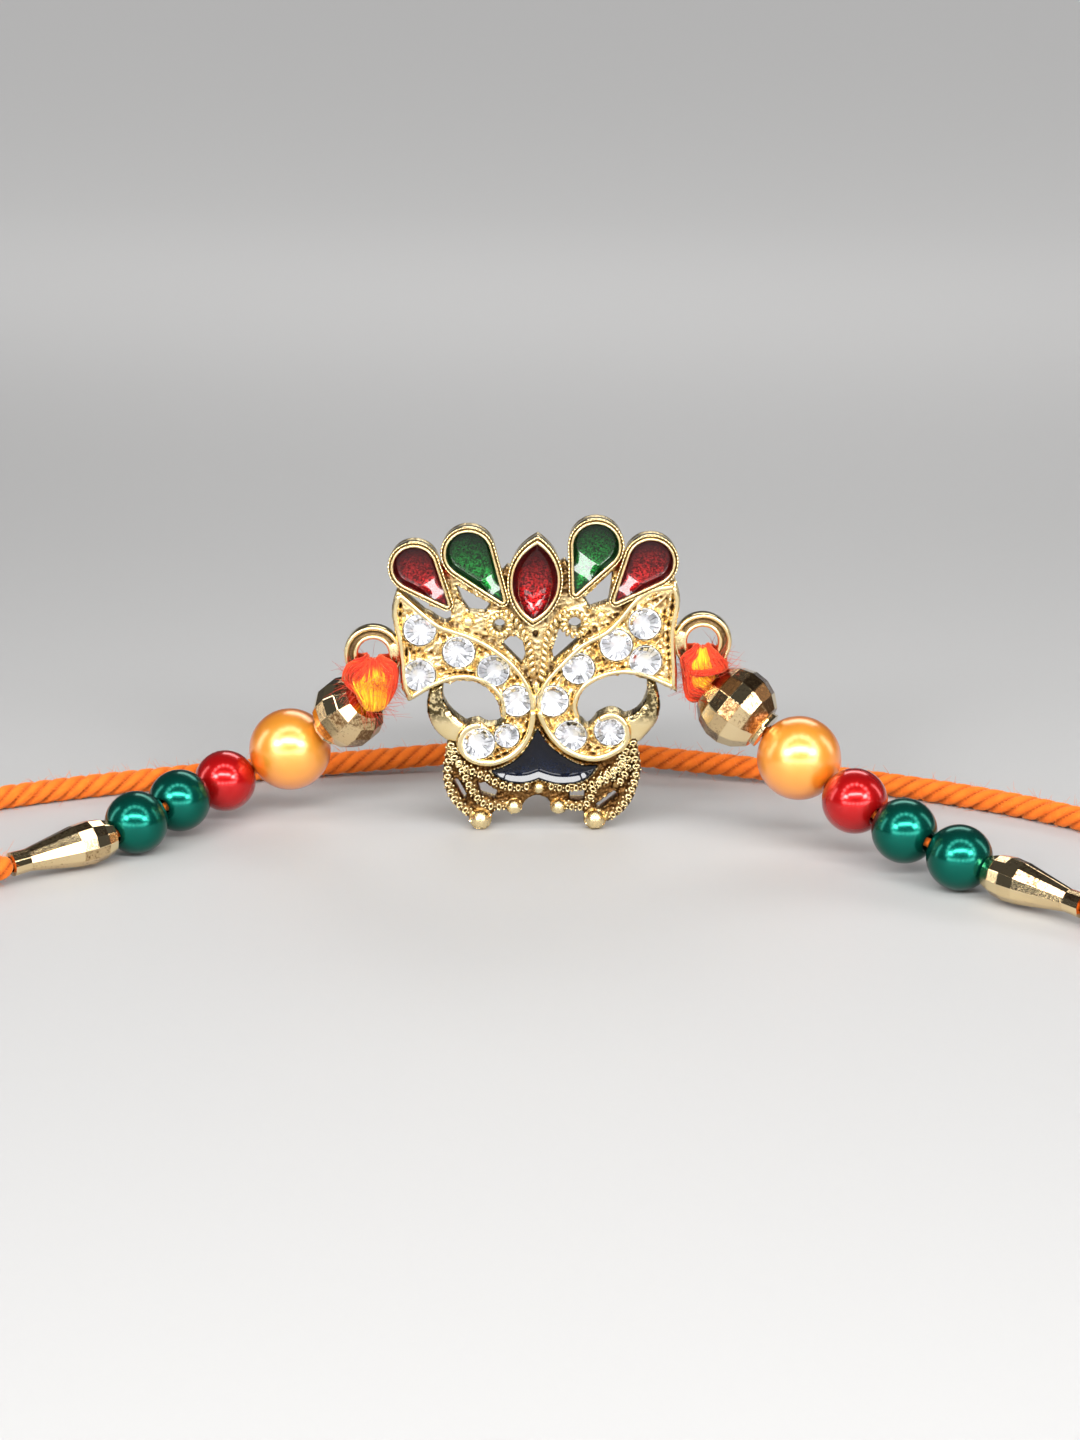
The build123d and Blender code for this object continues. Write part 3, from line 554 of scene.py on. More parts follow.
# The knot: a turned loop of the same yarn round a straight core, and two short cut ends.
knot = {
    "middle": (0.0, 28.57, 2.1), "turns": 3.0, "halfLength": 2.4, "coilRadius": 1.05, "tightening": 0.45,
    "rows": 130, "yarnRadius": 0.95, "coreRadius": 1.0, "endRadius": 0.72, "plies": 3, "pitch": 4.0,
    "plyDepth": 0.17, "columns": 28, "core": ((-4.2, 28.5, 2.05), (4.2, 28.5, 2.05)),
    "leftEnd": [(-1.2, 29.4, 2.6), (-2.4, 31.0, 2.5), (-3.6, 33.0, 1.2), (-4.3, 35.0, 0.75)],
    "rightEnd": [(1.2, 29.4, 2.4), (2.9, 31.2, 2.2), (4.6, 32.6, 1.1), (5.6, 34.4, 0.75)],
    "hairs": 150, "endHairs": 90, "hairRoot": 0.8, "hairLength": (0.4, 1.3),
}


# The loop's line is a helix of three turns about the line of the threads; its radius shrinks towards
# both ends as sqrt(1 - 0.45 s ^ 2), with s the share of its half length.
def makeKnot():
    share = np.linspace(-1, 1, knot["rows"])
    turn = share * knot["turns"] * np.pi
    coil = knot["coilRadius"] * np.sqrt(1 - knot["tightening"] * share ** 2)
    line = np.stack([share * knot["halfLength"], coil * np.cos(turn), coil * np.sin(turn)], 1)
    line += knot["middle"]
    core = np.linspace(*knot["core"], 40)
    leftEnd = smoothLine(knot["leftEnd"], 0.25)
    rightEnd = smoothLine(knot["rightEnd"], 0.25)
    parts, shadeLines = [], []
    for path, radius in ((line, knot["yarnRadius"]), (core, knot["coreRadius"]),
                         (leftEnd, knot["endRadius"]), (rightEnd, knot["endRadius"])):
        points, faces, shadeLine = plyTube(path, radius, knot["plies"], knot["pitch"], knot["plyDepth"],
                                        knot["columns"])
        parts.append((points, faces))
        shadeLines.append(shadeLine)
    for path, count in ((line, knot["hairs"]), (leftEnd, knot["endHairs"]), (rightEnd, knot["endHairs"])):
        hairs = hairsOn(path, knot["hairRoot"], count, knot["hairLength"], yarn["hairRadius"])
        parts.append(hairs)
        shadeLines.append(np.zeros(len(hairs[0])))
    points, faces = joinParts(parts)
    points[:, 2] = np.maximum(points[:, 2], 0.0)
    piece = makePiece("tieKnot", points, faces, yarnMaterial,
                      values={"shadeLine": np.concatenate(shadeLines)})
    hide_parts("tie_knot")
    return piece


# Both threads end in the knot, which is paired with the left one; each thread's start, length and path are
# worked out in metres and not used.
def declareCords(threads, knotPiece):
    for (thread, start, length, path), pieces in zip(threads, ([knotPiece], [])):
        [value * mm for value in start]
        length * mm
        (path * mm).tolist()


closingThreads = makeClosingThreads()
declareCords(closingThreads, makeKnot())
print("threads and knot ready")


# The casting: one height field over the pendant's face, and a flat back

# Heights stand over the flat back, in millimetres.
casting = {
    "spacing": 0.12, "backY": 10.47, "reach": 1.6,
    "plate": 1.3, "wing": 1.5, "cheek": 1.4, "cheekRise": 0.55, "ropeBed": 1.55, "border": 2.2,
    "petalRim": 2.3, "pocketFloor": 0.8, "bezel": 2.0, "seatFloor": 0.95, "ringFront": 1.6,
    "borderHalf": 0.27, "lip": 0.22, "lipRise": 0.16, "edgeRound": 0.2,
    "petalRimWidth": 0.55, "petalTipRadius": 0.12, "marquiseTipRim": 0.85,
    "neckRadius": 1.0, "padMargin": 0.1, "bezelMargin": 0.24, "seatMargin": 0.04, "rimMargin": 0.08,
    "wallHalf": 0.14, "wallMiddle": 0.1, "wallFoot": 0.04, "wallRise": 0.2, "cheekRound": 0.8,
    "ropeHalf": 0.4, "ringMargin": 0.2, "sharpAngle": 62, "cavityCells": 4, "groundShade": 0.32,
}
# Colours of the gilding: how warm each area is, where the cheeks' dark speckles start and how far they reach
# up, and the places and breadth of the spilled red.
giltColours = {"warmWing": 0.55, "warmGround": 0.8, "warmRest": 0.25, "speckleFrom": 10.9, "speckleReach": 1.0,
          "spills": ((-8.9, 26.1), (8.1, 26.8)), "spillBreadth": 0.6}
# The relief's waves: their lengths, and how high they stand on the plate, the skirt and the wings.
relief = {
    "scrollWave": 1.15, "fineWave": 0.62, "plateScroll": 0.10, "plateFine": 0.07, "skirtDrop": 0.22,
    "skirtFine": 0.12, "wingScroll": 0.22, "wingFine": 0.08,
    # Ridges: the second border line's distance, half width and rise, then the same for veins and ropes.
    "secondAway": 0.62, "secondHalf": 0.16, "secondRise": 0.26, "veinHalf": 0.17, "veinLift": 0.15,
    "veinRise": 0.25, "ropeHalf": 0.42, "ropeDrop": 0.3, "ropeRise": 0.2, "neckRise": 0.25,
    # Beds that stand lower than the rims and borders swept over them.
    "borderDrop": 0.35, "rimDrop": 0.35, "navyLip": 0.2, "navyRise": 0.5,
}

# Outlines of the casting's fields, in millimetres across and up: runs that meet at corners.
fieldOutlines = {
    "web": [
        [(-10.5, 24.0), (-8.75, 27.0)], [(-8.75, 27.0), (-5.0, 24.5), (-2.85, 26.4)],
        [(-2.85, 26.4), (-0.1, 25.0)], [(-0.1, 25.0), (2.6, 27.0)],
        [(2.6, 27.0), (4.2, 25.0), (8.2, 27.8)], [(8.2, 27.8), (10.5, 24.8)],
        [(10.5, 24.8), (9.5, 19.5), (3.0, 13.0), (3.0, 8.0)], [(3.0, 8.0), (-3.0, 8.0)],
        [(-3.0, 8.0), (-3.0, 13.0), (-9.0, 19.0), (-10.5, 24.0)],
    ],
    "skirt": [
        [(-8.3, 9.2), (-8.95, 7.2), (-9.15, 5.4), (-8.8, 3.7), (-7.9, 2.3), (-6.4, 1.0)],
        [(-6.4, 1.0), (-4.9, 1.0)], [(-4.9, 1.0), (-4.1, 1.85), (-2.9, 2.0)],
        [(-2.9, 2.0), (-1.6, 2.1)], [(-1.6, 2.1), (-1.1, 3.0), (0.0, 3.45), (1.05, 3.0), (1.4, 2.1)],
        [(1.4, 2.1), (2.7, 2.0)], [(2.7, 2.0), (4.3, 1.9), (4.9, 1.0)], [(4.9, 1.0), (6.4, 0.7)],
        [(6.4, 0.7), (8.1, 1.6), (9.1, 2.85), (9.75, 4.6), (10.0, 6.4), (9.75, 7.9), (9.5, 9.2)],
        [(9.5, 9.2), (0.0, 10.0), (-8.3, 9.2)],
    ],
    "wingLeft": [
        [(-13.3, 24.2), (-13.85, 22.3), (-13.5, 19.6), (-13.2, 16.6), (-13.0, 14.4), (-12.4, 13.06)],
        [(-12.4, 13.06), (-10.8, 14.1), (-9.2, 14.9), (-6.5, 14.2), (-4.0, 12.0), (-2.6, 11.0)],
        [(-2.6, 11.0), (-0.14, 12.05)],
        [(-0.14, 12.05), (-0.4, 14.4), (-1.1, 15.7), (-2.3, 17.2), (-4.3, 18.8), (-7.2, 20.2),
         (-9.5, 21.0), (-11.4, 22.6), (-13.3, 24.2)],
    ],
    "wingRight": [
        [(13.1, 25.0), (13.55, 23.3), (13.2, 20.6), (13.3, 17.0), (13.4, 14.06)],
        [(13.4, 14.06), (11.2, 15.1), (9.0, 15.8), (6.2, 15.0), (4.2, 12.6), (3.0, 11.0)],
        [(3.0, 11.0), (-0.14, 12.05)],
        [(-0.14, 12.05), (0.15, 14.4), (1.5, 16.6), (2.8, 17.9), (4.4, 19.4), (6.3, 20.3), (8.0, 22.1),
         (9.8, 24.2), (13.1, 25.0)],
    ],
    "curlLeft": [
        [(-0.14, 12.05), (-0.45, 10.1), (-1.75, 7.9), (-4.0, 6.75), (-5.9, 6.8), (-7.4, 7.7),
         (-7.85, 9.1), (-7.45, 10.3), (-6.6, 11.0), (-5.4, 11.2)],
        [(-5.4, 11.2), (-4.2, 10.8), (-2.6, 11.1), (-0.14, 12.05)],
    ],
    "curlRight": [
        [(-0.14, 12.05), (0.9, 9.7), (2.6, 7.95), (4.3, 7.25), (5.9, 7.16), (7.5, 7.75), (8.65, 8.6),
         (9.05, 10.0), (8.6, 11.4), (7.0, 12.2), (5.7, 11.6)],
        [(5.7, 11.6), (4.8, 10.6), (3.2, 11.2), (-0.14, 12.05)],
    ],
    "cheekLeft": [
        [(-10.3, 14.4), (-10.65, 12.7), (-10.25, 10.9), (-9.4, 9.7), (-8.3, 9.0), (-7.0, 8.8)],
        [(-7.0, 8.8), (-6.9, 10.9)], [(-6.9, 10.9), (-8.3, 12.1), (-9.0, 13.5), (-9.0, 14.9)],
        [(-9.0, 14.9), (-10.3, 14.4)],
    ],
    "cheekRight": [
        [(11.3, 15.0), (11.8, 12.5), (11.4, 11.0), (10.5, 9.8), (9.5, 8.9), (8.4, 8.9)],
        [(8.4, 8.9), (8.4, 11.6)], [(8.4, 11.6), (9.4, 12.0), (10.2, 13.0), (10.5, 15.4)],
        [(10.5, 15.4), (11.3, 15.0)],
    ],
}
navyOutline = [
    [(0.0, 10.5), (-1.05, 8.5), (-2.8, 6.85), (-4.5, 6.2)],
    [(-4.5, 6.2), (-3.5, 5.4), (-2.1, 5.02), (-0.9, 5.1), (0.1, 5.45)],
    [(0.1, 5.45), (1.3, 5.05), (3.0, 4.92), (4.8, 5.5), (5.8, 6.75)],
    [(5.8, 6.75), (4.3, 6.8), (2.7, 7.55), (1.1, 8.85), (0.0, 10.5)],
]
navyMiddle = (0.6, 6.7)
# The middle lines of the smooth raised borders.
borderLines = [
    [(-13.1, 23.75), (-13.45, 22.2), (-13.1, 19.4), (-12.82, 16.4), (-12.55, 14.5), (-12.1, 13.6)],
    [(-12.1, 13.6), (-10.7, 14.5), (-9.0, 15.3), (-6.9, 15.68), (-4.6, 14.9), (-3.35, 13.3),
     (-3.25, 11.7)],
    [(-13.1, 23.75), (-11.25, 22.1), (-9.3, 20.58), (-7.0, 19.77), (-4.45, 18.48), (-2.5, 16.9),
     (-1.27, 15.3), (-0.68, 13.95), (-0.42, 12.3)],
    [(-0.42, 12.3), (-0.76, 10.1), (-1.98, 8.2), (-4.0, 7.1), (-5.8, 7.15), (-7.08, 8.0),
     (-7.48, 9.2), (-7.1, 10.15), (-6.35, 10.68), (-5.4, 10.86)],
    [(12.92, 24.55), (13.22, 23.2), (12.87, 20.6), (12.97, 17.0), (13.0, 14.65)],
    [(13.0, 14.65), (11.1, 15.52), (9.0, 16.15), (6.0, 15.7), (4.15, 14.4), (3.55, 12.8), (3.8, 11.6)],
    [(12.92, 24.55), (10.1, 23.75), (8.3, 21.85), (6.5, 19.97), (4.6, 18.95), (2.93, 17.47),
     (1.53, 15.97), (0.5, 14.45), (0.14, 12.3)],
    [(0.14, 12.3), (1.2, 9.98), (2.82, 8.32), (4.42, 7.62), (5.9, 7.52), (7.3, 8.07), (8.33, 8.87),
     (8.68, 10.0), (8.28, 11.13), (7.0, 11.82), (5.92, 11.35)],
]
# Rope lines: the first two are coils down the stem, the rest chains of small rings.
stemLines = [
    [(-3.1, 22.1), (-2.1, 21.2), (-1.3, 19.9), (-0.8, 18.6), (-0.6, 17.2), (-0.4, 15.7)],
    [(2.75, 22.1), (1.85, 21.2), (1.1, 20.0), (0.75, 18.5), (0.6, 16.9), (0.35, 15.3)],
]
chainLines = [
    [(-8.35, 8.8), (-8.6, 7.0), (-8.7, 5.4), (-8.4, 4.0), (-7.6, 2.7), (-6.5, 1.7)],
    [(9.2, 9.0), (9.4, 7.6), (9.55, 6.2), (9.25, 4.7), (8.65, 3.2), (7.8, 2.1), (6.8, 1.3)],
    [(-7.6, 7.0), (-6.9, 5.4), (-6.3, 4.1), (-5.3, 2.9), (-4.2, 2.5), (-3.0, 2.6)],
    [(8.2, 7.0), (6.9, 5.4), (5.4, 4.4), (5.1, 3.3), (4.4, 2.55), (2.9, 2.6)],
    [(-6.3, 6.1), (-4.9, 5.5), (-3.4, 4.7), (-2.0, 4.45), (-0.9, 4.6)],
    [(7.3, 6.1), (6.0, 5.2), (4.4, 4.55), (2.8, 4.4), (1.2, 4.6)],
    [(-7.95, 8.3), (-8.0, 7.4), (-7.3, 6.65), (-6.3, 6.1)],
    [(8.5, 8.2), (8.7, 6.9), (8.3, 5.6), (7.6, 4.6)],
    [(8.15, 7.6), (7.9, 6.6), (6.9, 5.95), (6.0, 5.2)],
]
# Openings: corner points of the pierced gaps, then the two eyes as smooth closed lines.
gapCorners = [
    [(-11.25, 22.75), (-8.2, 21.95), (-8.2, 21.1), (-8.85, 20.9), (-9.6, 21.3)],
    [(-7.75, 24.55), (-4.45, 22.7), (-5.0, 21.85), (-6.45, 21.95), (-7.1, 22.9)],
    [(-3.4, 18.75), (-2.85, 19.4), (-2.0, 19.55), (-1.4, 19.0), (-1.15, 17.6), (-1.5, 16.75)],
    [(2.1, 20.3), (1.4, 18.1), (1.55, 17.05), (4.1, 19.4)],
    [(7.1, 25.9), (6.95, 24.5), (6.7, 22.9), (5.0, 22.3), (4.42, 23.3)],
    [(-5.8, 4.75), (-5.1, 4.75), (-3.85, 3.9), (-4.1, 3.15), (-5.5, 3.6)],
    [(3.14, 3.1), (3.14, 3.95), (4.5, 3.95), (4.5, 3.1)],
]
eyeLines = [
    [(-9.0, 14.3), (-7.1, 15.2), (-4.7, 14.3), (-3.65, 12.4), (-3.95, 10.95), (-4.75, 10.75),
     (-5.9, 11.3), (-7.0, 11.35), (-8.3, 12.2), (-9.0, 13.3)],
    [(3.9, 13.0), (4.2, 11.3), (4.8, 10.75), (5.8, 11.75), (7.2, 12.3), (8.6, 11.8), (9.4, 12.0),
     (10.15, 13.0), (10.5, 14.5), (8.3, 15.6), (5.9, 15.3), (4.5, 14.3)],
]
# Slots: both ends and the width. Rope rings: middle, hole and outer radius.
slotEnds = [(-7.85, 4.9, -7.1, 3.4, 0.5), (5.95, 2.4, 7.4, 3.55, 0.6)]
ropeRings = [(-3.6, 20.75, 0.52, 1.38), (3.55, 20.85, 0.62, 1.5)]
# Petals: middle of the round end, the inner tip, and the round end's radius.
petalTable = {
    "enamel_red_left": (-11.65, 26.43, -8.6, 22.85, 1.95),
    "enamel_green_left": (-6.52, 27.75, -3.35, 23.25, 2.08),
    "enamel_green_right": (5.52, 28.5, 3.62, 24.05, 2.12),
    "enamel_red_right": (10.7, 26.97, 7.45, 23.25, 2.08),
}
# The middle petal, a leaning pointed oval.
marquise = {"across": -0.22, "up": 25.05, "halfHeight": 3.62, "halfWidth": 2.1, "lean": math.radians(3.5)}
# Stones of each side in their order: across, up and radius.
stoneSides = {
    "left": [(-11.2, 20.3, 1.5), (-7.5, 18.1, 1.5), (-11.3, 15.8, 1.5), (-4.2, 16.25, 1.5),
             (-2.0, 13.25, 1.5), (-5.65, 9.0, 1.5), (-2.95, 9.75, 1.15)],
    "right": [(10.2, 20.9, 1.5), (7.5, 18.8, 1.5), (10.3, 17.2, 1.5), (3.9, 16.5, 1.5), (1.45, 13.25, 1.5),
              (3.2, 9.75, 1.5), (7.0, 10.3, 1.5)],
}
stoneTable = {f"stone_{side}_{number}": stone for side, stones in stoneSides.items()
              for number, stone in enumerate(stones, 1)}
# A small pit between the stem's coils: across, up, radius, and the height of its floor.
stemPit, pitFloor = (-0.2, 19.8, 0.26), 0.9
# Middles of the side rings and of their necks, then cast balls and the two feet with their radii.
sideRings = [(-15.7, 17.75), (15.75, 18.98)]
sideRingHole = 1.45
ringNecks = [(-13.5, 17.95), (13.6, 19.1)]
ballTable = [(-6.6, 21.0, 0.65), (6.05, 21.6, 0.5), (0.15, 4.4, 0.6), (-2.3, 2.4, 0.72), (2.03, 2.4, 0.72)]
footTable = [(-5.55, 1.12, 0.92), (5.6, 1.12, 0.92)]
ballDepth = 1.35
# Veins engraved in the wings' leaf tips.
veinLines = [
    [(-12.95, 23.4), (-12.6, 22.3), (-12.35, 21.2)], [(-12.8, 23.3), (-12.1, 22.35), (-11.3, 21.95)],
    [(-12.65, 23.25), (-11.7, 22.5), (-10.4, 21.55)], [(-12.2, 13.9), (-12.3, 14.5), (-12.6, 15.2)],
    [(-12.1, 13.9), (-11.6, 14.25), (-11.0, 14.45)], [(12.75, 24.2), (12.5, 23.0), (12.35, 21.8)],
    [(12.6, 24.15), (11.9, 23.3), (11.2, 22.6)], [(12.4, 24.15), (11.2, 23.5), (10.0, 22.9)],
    [(12.1, 24.2), (10.8, 23.75), (9.5, 22.6)], [(12.75, 14.95), (12.2, 15.8), (12.3, 17.0)],
    [(12.6, 14.95), (11.7, 15.5), (11.2, 15.8)],
]

gridX, gridZ = np.meshgrid(np.arange(-19.2, 19.3, casting["spacing"]),
                           np.arange(-0.36, 31.8, casting["spacing"]))
spots = np.stack([gridX.ravel(), gridZ.ravel()], 1)


# Points of the pendant's face, given across and up, at this depth over the casting's back.
def facePoints(flat, depth):
    y = np.broadcast_to(casting["backY"] - depth, flat.shape[:-1])
    return np.stack([flat[..., 0], y, flat[..., 1]], -1)


# Runs joined into one closed line.
def closedLine(runs, spacing=0.2):
    return np.concatenate([smoothLine(run, spacing) for run in runs])


# Which points lie inside a closed line: an odd number of its sides lie to their right.
def insideLine(points, line):
    a, b = line, np.roll(line, -1, axis=0)
    x, z = points[:, 0, None], points[:, 1, None]
    over = (a[:, 1] > z) != (b[:, 1] > z)
    cut = (b[:, 0] - a[:, 0]) * (z - a[:, 1]) / (b[:, 1] - a[:, 1] + 1e-12) + a[:, 0]
    return (over & (x < cut)).sum(1) % 2 == 1


# Distance from the grid's points to a line, up to this reach.
def lineField(line, reach):
    distance = np.full(len(spots), reach)
    near = ((spots > line.min(0) - reach) & (spots < line.max(0) + reach)).all(1)
    distance[near] = np.minimum(distanceToLine(spots[near], line), reach)
    return distance


# Signed distance to a closed line, positive inside it.
def insideField(line):
    line = np.concatenate([line, line[:1]])
    line = line[np.concatenate([[True], np.linalg.norm(np.diff(line, axis=0), axis=1) > 1e-6])]
    distance = lineField(line, casting["reach"])
    box = ((spots > line.min(0)) & (spots < line.max(0))).all(1)
    inside = np.zeros(len(spots), bool)
    inside[box] = insideLine(spots[box], line)
    return np.where(inside, distance, -distance)


# Signed distance to a disc, positive inside: its radius less the distance from its middle.
def discField(x, z, radius):
    return radius - np.hypot(spots[:, 0] - x, spots[:, 1] - z)


# The same for many discs at once, each made larger by a margin.
def discsField(discs, margin=0.0):
    return np.max([discField(x, z, radius + margin) for x, z, radius in discs], 0)


# Distance to the nearest of many lines.
def linesField(lines):
    return np.min([lineField(smoothLine(line, 0.2), 1.0) for line in lines], 0)


# Signed distance to a drop of two circles and the tangents between them, positive inside: across the
# axis the distance is measured square to the tangent, and beyond its ends from the circles.
def dropField(points, x, z, tipX, tipZ, radius, tipRadius):
    axis = np.array([tipX - x, tipZ - z])
    long = np.linalg.norm(axis)
    axis = axis / long
    away = points - (x, z)
    along = away @ axis
    across = np.abs(away @ np.array([-axis[1], axis[0]]))
    sine = (radius - tipRadius) / long
    cosine = math.sqrt(1 - sine * sine)
    share = along * cosine - across * sine
    straight = radius - (along * sine + across * cosine)
    roundEnd = radius - np.hypot(along, across)
    tip = tipRadius - np.hypot(along - long, across)
    return np.where(share < 0, roundEnd, np.where(share > long * cosine, tip, straight))


# A drop's outline: its round end, and its tip, each an arc.
def dropLine(x, z, tipX, tipZ, radius, tipRadius, count=120):
    turn = math.atan2(tipZ - z, tipX - x)
    touch = math.acos((radius - tipRadius) / math.hypot(tipX - x, tipZ - z))
    big = turn + np.linspace(touch, 2 * np.pi - touch, count)
    small = turn + np.linspace(-touch, touch, 13)
    ring = [(x + radius * np.cos(big), z + radius * np.sin(big)),
            (tipX + tipRadius * np.cos(small), tipZ + tipRadius * np.sin(small))]
    points = np.concatenate([np.stack(part, 1) for part in ring])
    return evenSteps(np.concatenate([points, points[:1]]), 0.1)[:-1]


# Points of the leaning pointed oval: two arcs between its tips, each of the radius
# (w ^ 2 + h ^ 2) / (2 w) for its half width w and half height h.
def marquisePoints(halfWidth, halfHeight, count):
    radius = (halfWidth ** 2 + halfHeight ** 2) / (2 * halfWidth)
    half = math.asin(halfHeight / radius)
    angle = np.linspace(half, -half, count)[:-1]
    right = np.stack([radius * np.cos(angle) - (radius - halfWidth), radius * np.sin(angle)], 1)
    oval = np.concatenate([right, -right])
    cosine, sine = math.cos(marquise["lean"]), math.sin(marquise["lean"])
    return np.stack([oval[:, 0] * cosine + oval[:, 1] * sine + marquise["across"],
                     -oval[:, 0] * sine + oval[:, 1] * cosine + marquise["up"]], 1)


# The oval as a closed line at even steps.
def marquiseLine(halfWidth=marquise["halfWidth"], halfHeight=marquise["halfHeight"]):
    points = marquisePoints(halfWidth, halfHeight, 60)
    return evenSteps(np.concatenate([points, points[:1]]), 0.1)[:-1]


# A rounded ridge: its height over the base is the rise times sqrt(1 - (d / half width) ^ 2).
def ridge(distance, half, rise):
    return rise * np.sqrt(np.clip(1 - (distance / half) ** 2, 0, 1))


# Scrolling relief: one less the size of a sum of waves in many directions, sharpened to ridges.
def scrollField(points, wavelength, count=9, seed=5):
    draws = np.random.default_rng(seed)
    heading = draws.uniform(0, np.pi, count)
    pace = 2 * np.pi / wavelength * draws.uniform(0.75, 1.3, count)
    shift = draws.uniform(0, 2 * np.pi, count)
    waves = np.sin(points[:, :1] * np.cos(heading) * pace + points[:, 1:] * np.sin(heading) * pace + shift)
    return 1 - np.abs(waves.sum(1)) / 2.2


# A box blur of a grid field, applied twice in each direction.
def blurred(field, cells):
    for axis in (0, 1, 0, 1):
        padded = np.pad(field, [(cells + 1, cells) if k == axis else (0, 0) for k in (0, 1)], mode="edge")
        total = np.cumsum(padded, axis=axis)
        size = 2 * cells + 1
        field = (np.take(total, np.arange(size, total.shape[axis]), axis)
                 - np.take(total, np.arange(0, total.shape[axis] - size), axis)) / size
    return field


# Signed distances that the casting is made of, positive inside each: its named areas, what is cut through
# it, what stands on it, and the whole body, which is all of these less the openings.
def castingFields():
    fields = {name: insideField(closedLine(runs)) for name, runs in fieldOutlines.items()}
    width, tip = casting["petalRimWidth"], casting["petalTipRadius"]
    pockets = [dropField(spots, *petal, tip) for petal in petalTable.values()]
    rims = [dropField(spots, *petal[:4], petal[4] + width, tip + width) for petal in petalTable.values()]
    pockets.append(insideField(marquiseLine()))
    rims.append(insideField(marquiseLine(marquise["halfWidth"] + width,
                                         marquise["halfHeight"] + casting["marquiseTipRim"])))
    gaps = [[[a, b] for a, b in zip(corners, corners[1:] + corners[:1])] for corners in gapCorners]
    holes = [insideField(closedLine(runs)) for runs in gaps]
    holes += [insideField(smoothLine(points, 0.2, closed=True)[:-1]) for points in eyeLines]
    holes += [dropField(spots, *ends[:4], ends[4] / 2, ends[4] / 2) for ends in slotEnds]
    holes += [discField(x, z, hole) for x, z, hole, _ in ropeRings]
    made = {
        "skirt": fields["skirt"],
        "wing": np.max([fields[name] for name in ("wingLeft", "wingRight", "curlLeft", "curlRight")], 0),
        "cheek": np.maximum(fields["cheekLeft"], fields["cheekRight"]),
        "border": linesField(borderLines),
        "ropes": linesField(stemLines + chainLines),
        "pocket": np.max(pockets, 0),
        "rim": np.max(rims, 0),
        "navy": insideField(closedLine(navyOutline)),
        "hole": np.max(holes, 0),
        "necks": discsField([(x, z, casting["neckRadius"]) for x, z in ringNecks]),
        "pads": np.maximum(discsField(ballTable, casting["padMargin"]),
                           discsField([(x, z, z) for x, z, _ in footTable])),
        "ropeDisc": discsField([(x, z, outer) for x, z, _, outer in ropeRings]),
        "bezels": discsField(stoneTable.values(), casting["bezelMargin"]),
        "seats": discsField(stoneTable.values(), casting["seatMargin"]),
    }
    body = np.max([fields["web"], made["skirt"], made["pads"], made["cheek"], made["wing"], made["necks"],
                   casting["ropeHalf"] - made["ropes"], made["ropeDisc"],
                   casting["borderHalf"] - made["border"], made["bezels"],
                   made["rim"] - casting["rimMargin"]], 0)
    ringHole = discsField([(x, z, sideRingHole + casting["ringMargin"]) for x, z in sideRings])
    made["body"] = np.minimum(body, -np.maximum(made["hole"], ringHole))
    return made


